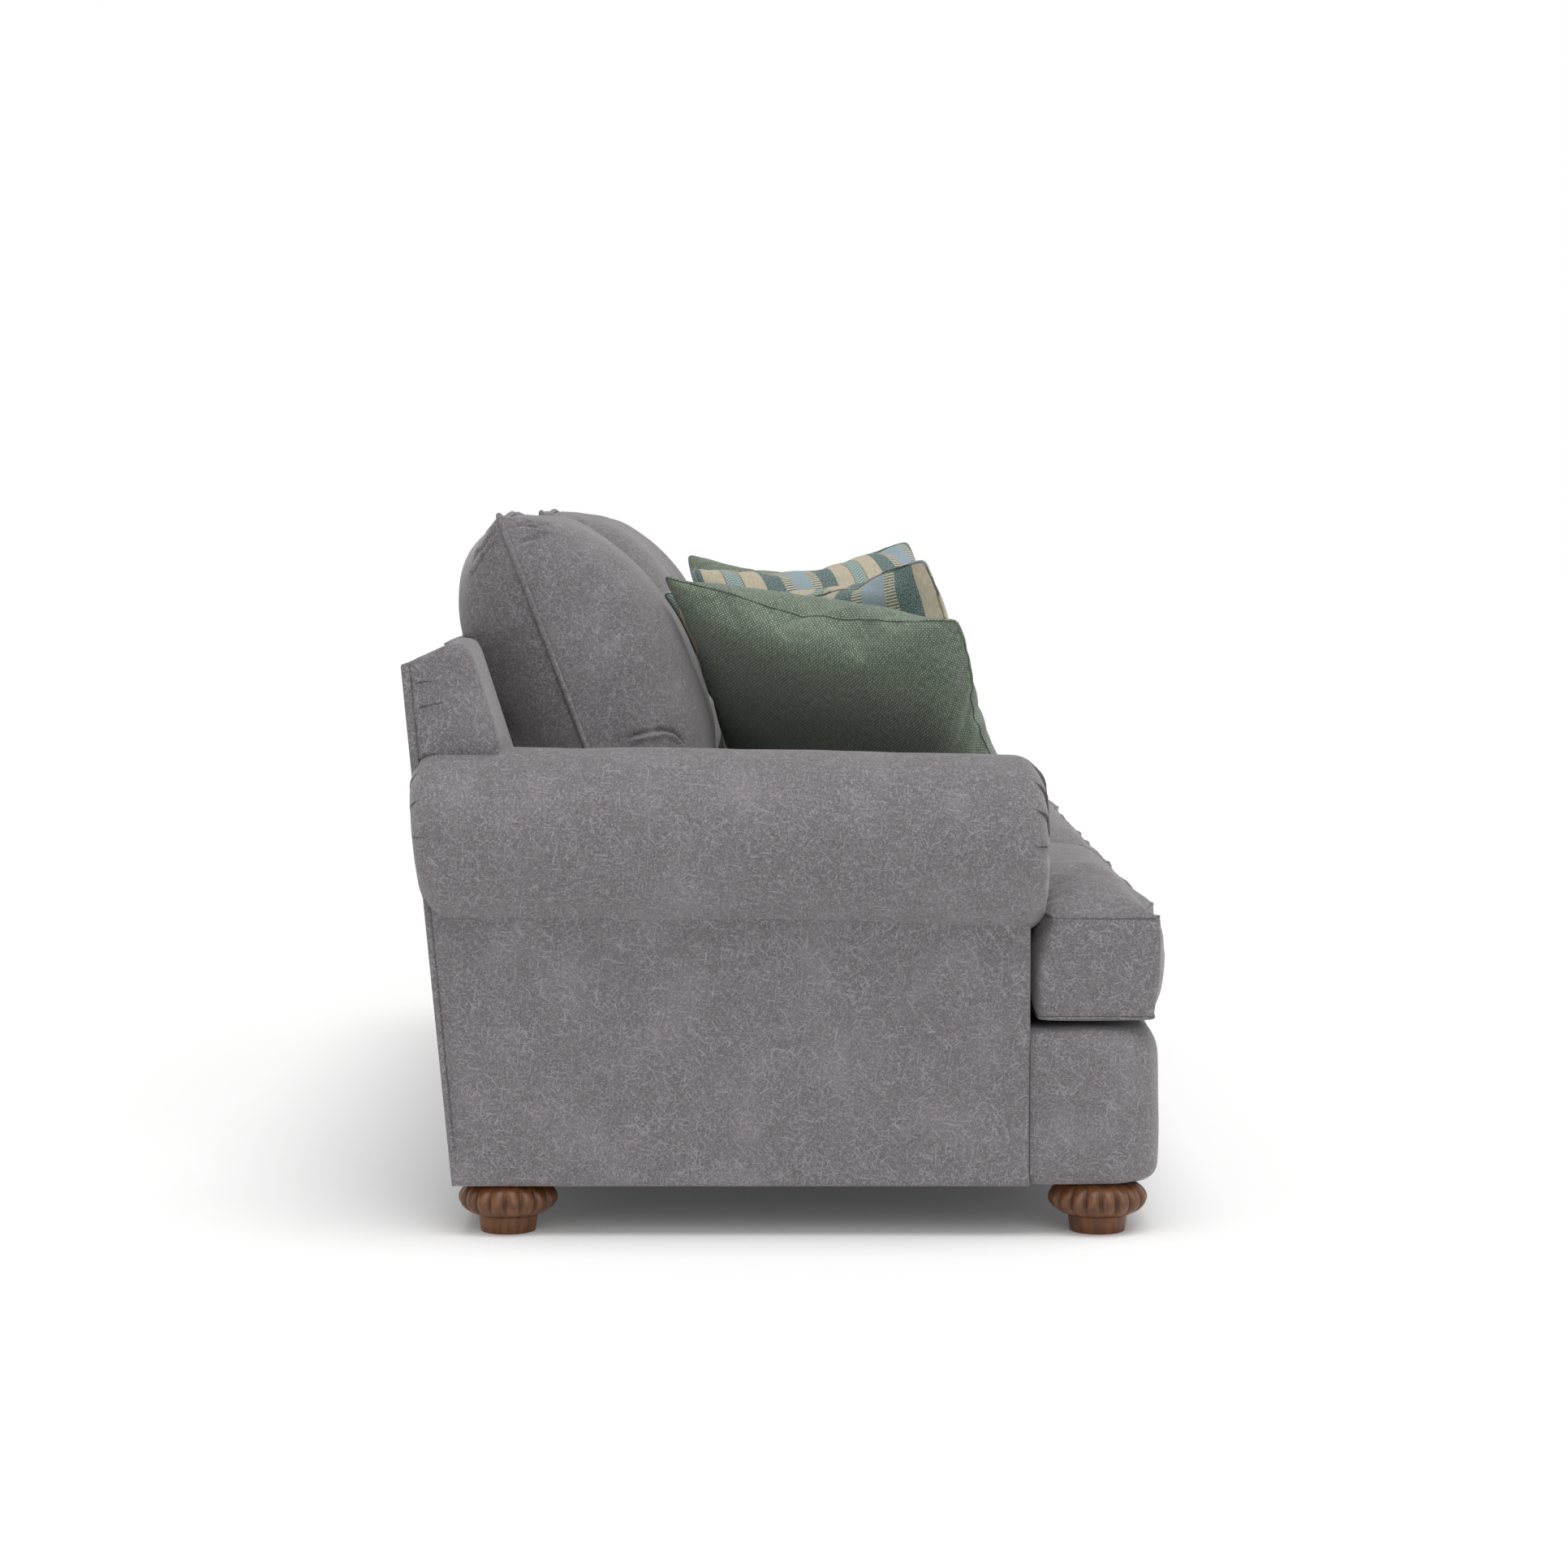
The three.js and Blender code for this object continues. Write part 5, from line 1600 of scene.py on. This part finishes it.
class SOFA_OT_stage(bpy.types.Operator):
    """Sets the floor, the light and the camera"""

    bl_idname = "sofa.stage"
    bl_label = "Studio"

    def execute(self, context):
        scene = context.scene
        stage = scene.sofa_stage
        floor = bpy.data.meshes.new("floor")
        turns = np.linspace(0, 2 * math.pi, 24, endpoint=False)
        rim = [(FLOOR_REACH * math.cos(a), FLOOR_REACH * math.sin(a), 0) for a in turns]
        floor.from_pydata(rim, [], [tuple(range(len(rim)))])
        ground = bpy.data.objects.new("floor", floor)
        scene.collection.objects.link(ground)
        finish = Finish("Studio floor", Specular_IOR_Level=0.0, Emission_Strength=1.0)
        speck = finish.noise(finish.place(), 30, 2)
        finish.surface(finish.mix(speck, (0.97, 0.97, 0.97), (1.0, 1.0, 1.0)), 0.9)
        glow = finish.mix(finish.seen(), (0.0, 0.0, 0.0), (0.05, 0.05, 0.05))
        finish.feed(finish.shader.inputs["Emission Color"], glow)
        floor.materials.append(finish.material)

        world = bpy.data.worlds.new("Studio")
        scene.world = world
        world.use_nodes = True
        world.node_tree.nodes.clear()
        room = Nodes(world.node_tree)
        light = {"Color": (1.0, 0.995, 0.985), "Strength": stage.sky}
        around = room.node("ShaderNodeBackground", None, light)
        white = room.node("ShaderNodeBackground", None, {"Color": (1, 1, 1)})
        shown = room.node("ShaderNodeMixShader", None, {0: room.seen(), 1: around, 2: white})
        room.feed(room.tree.nodes.new("ShaderNodeOutputWorld").inputs["Surface"], shown)

        for name, power, spread, way in (
                ("overhead", stage.key, 44, (0.20, 0.10, -1.0)),
                ("near_side", stage.side, 40, (1.0, 0.22, -0.55))):
            lamp = bpy.data.lights.new(name, "SUN")
            lamp.energy = power
            lamp.angle = math.radians(spread)
            sun = bpy.data.objects.new(name, lamp)
            sun.rotation_euler = Vector(way).to_track_quat("-Z", "Y").to_euler()
            scene.collection.objects.link(sun)

        camera = bpy.data.cameras.new("camera")
        camera.lens = stage.lens
        camera.sensor_width = SENSOR
        camera.dof.use_dof = False
        eye = bpy.data.objects.new("camera", camera)
        length = extent("arm_cover_left")[1][0]
        eye.location = (-(length + stage.distance), 0.0, stage.eye)
        focal = stage.lens / SENSOR * PICTURE
        tip = math.atan((PICTURE / 2 - stage.horizon) / focal)
        view = Vector((math.cos(tip), 0, -math.sin(tip)))
        eye.rotation_euler = view.to_track_quat("-Z", "Y").to_euler()
        scene.collection.objects.link(eye)
        scene.camera = eye
        scene.view_settings.view_transform = "Standard"
        return {"FINISHED"}


class SOFA_PT_panel(bpy.types.Panel):
    """Lists the steps that dress the sofa"""

    bl_label = "Sofa"
    bl_idname = "SOFA_PT_panel"
    bl_space_type = "VIEW_3D"
    bl_region_type = "UI"
    bl_category = "Sofa"

    def draw(self, context):
        layout = self.layout
        for group in ("sofa_upholstery", "sofa_pillows", "sofa_cushions", "sofa_stage"):
            box = layout.box()
            settings = getattr(context.scene, group)
            for name in settings.bl_rna.properties.keys():
                if name not in ("rna_type", "name"):
                    box.prop(settings, name)
        for step in STEPS:
            layout.operator(step.bl_idname)


STEPS = (
    SOFA_OT_arms, SOFA_OT_base, SOFA_OT_back, SOFA_OT_seats, SOFA_OT_back_cushions,
    SOFA_OT_pillows, SOFA_OT_feet, SOFA_OT_frame, SOFA_OT_stage)
GROUPS = {
    "sofa_upholstery": UpholsteryLook,
    "sofa_pillows": PillowLook,
    "sofa_cushions": CushionSizes,
    "sofa_stage": StageSizes,
}


def register():
    for group in (*GROUPS.values(), *STEPS, SOFA_PT_panel):
        bpy.utils.register_class(group)
    for name, group in GROUPS.items():
        setattr(bpy.types.Scene, name, PointerProperty(type=group))


def unregister():
    for name in GROUPS:
        delattr(bpy.types.Scene, name)
    for group in reversed((*GROUPS.values(), *STEPS, SOFA_PT_panel)):
        bpy.utils.unregister_class(group)


def main():
    register()
    for step in STEPS:
        namespace, name = step.bl_idname.split(".")
        getattr(getattr(bpy.ops, namespace), name)()


if __name__ == "__main__":
    main()
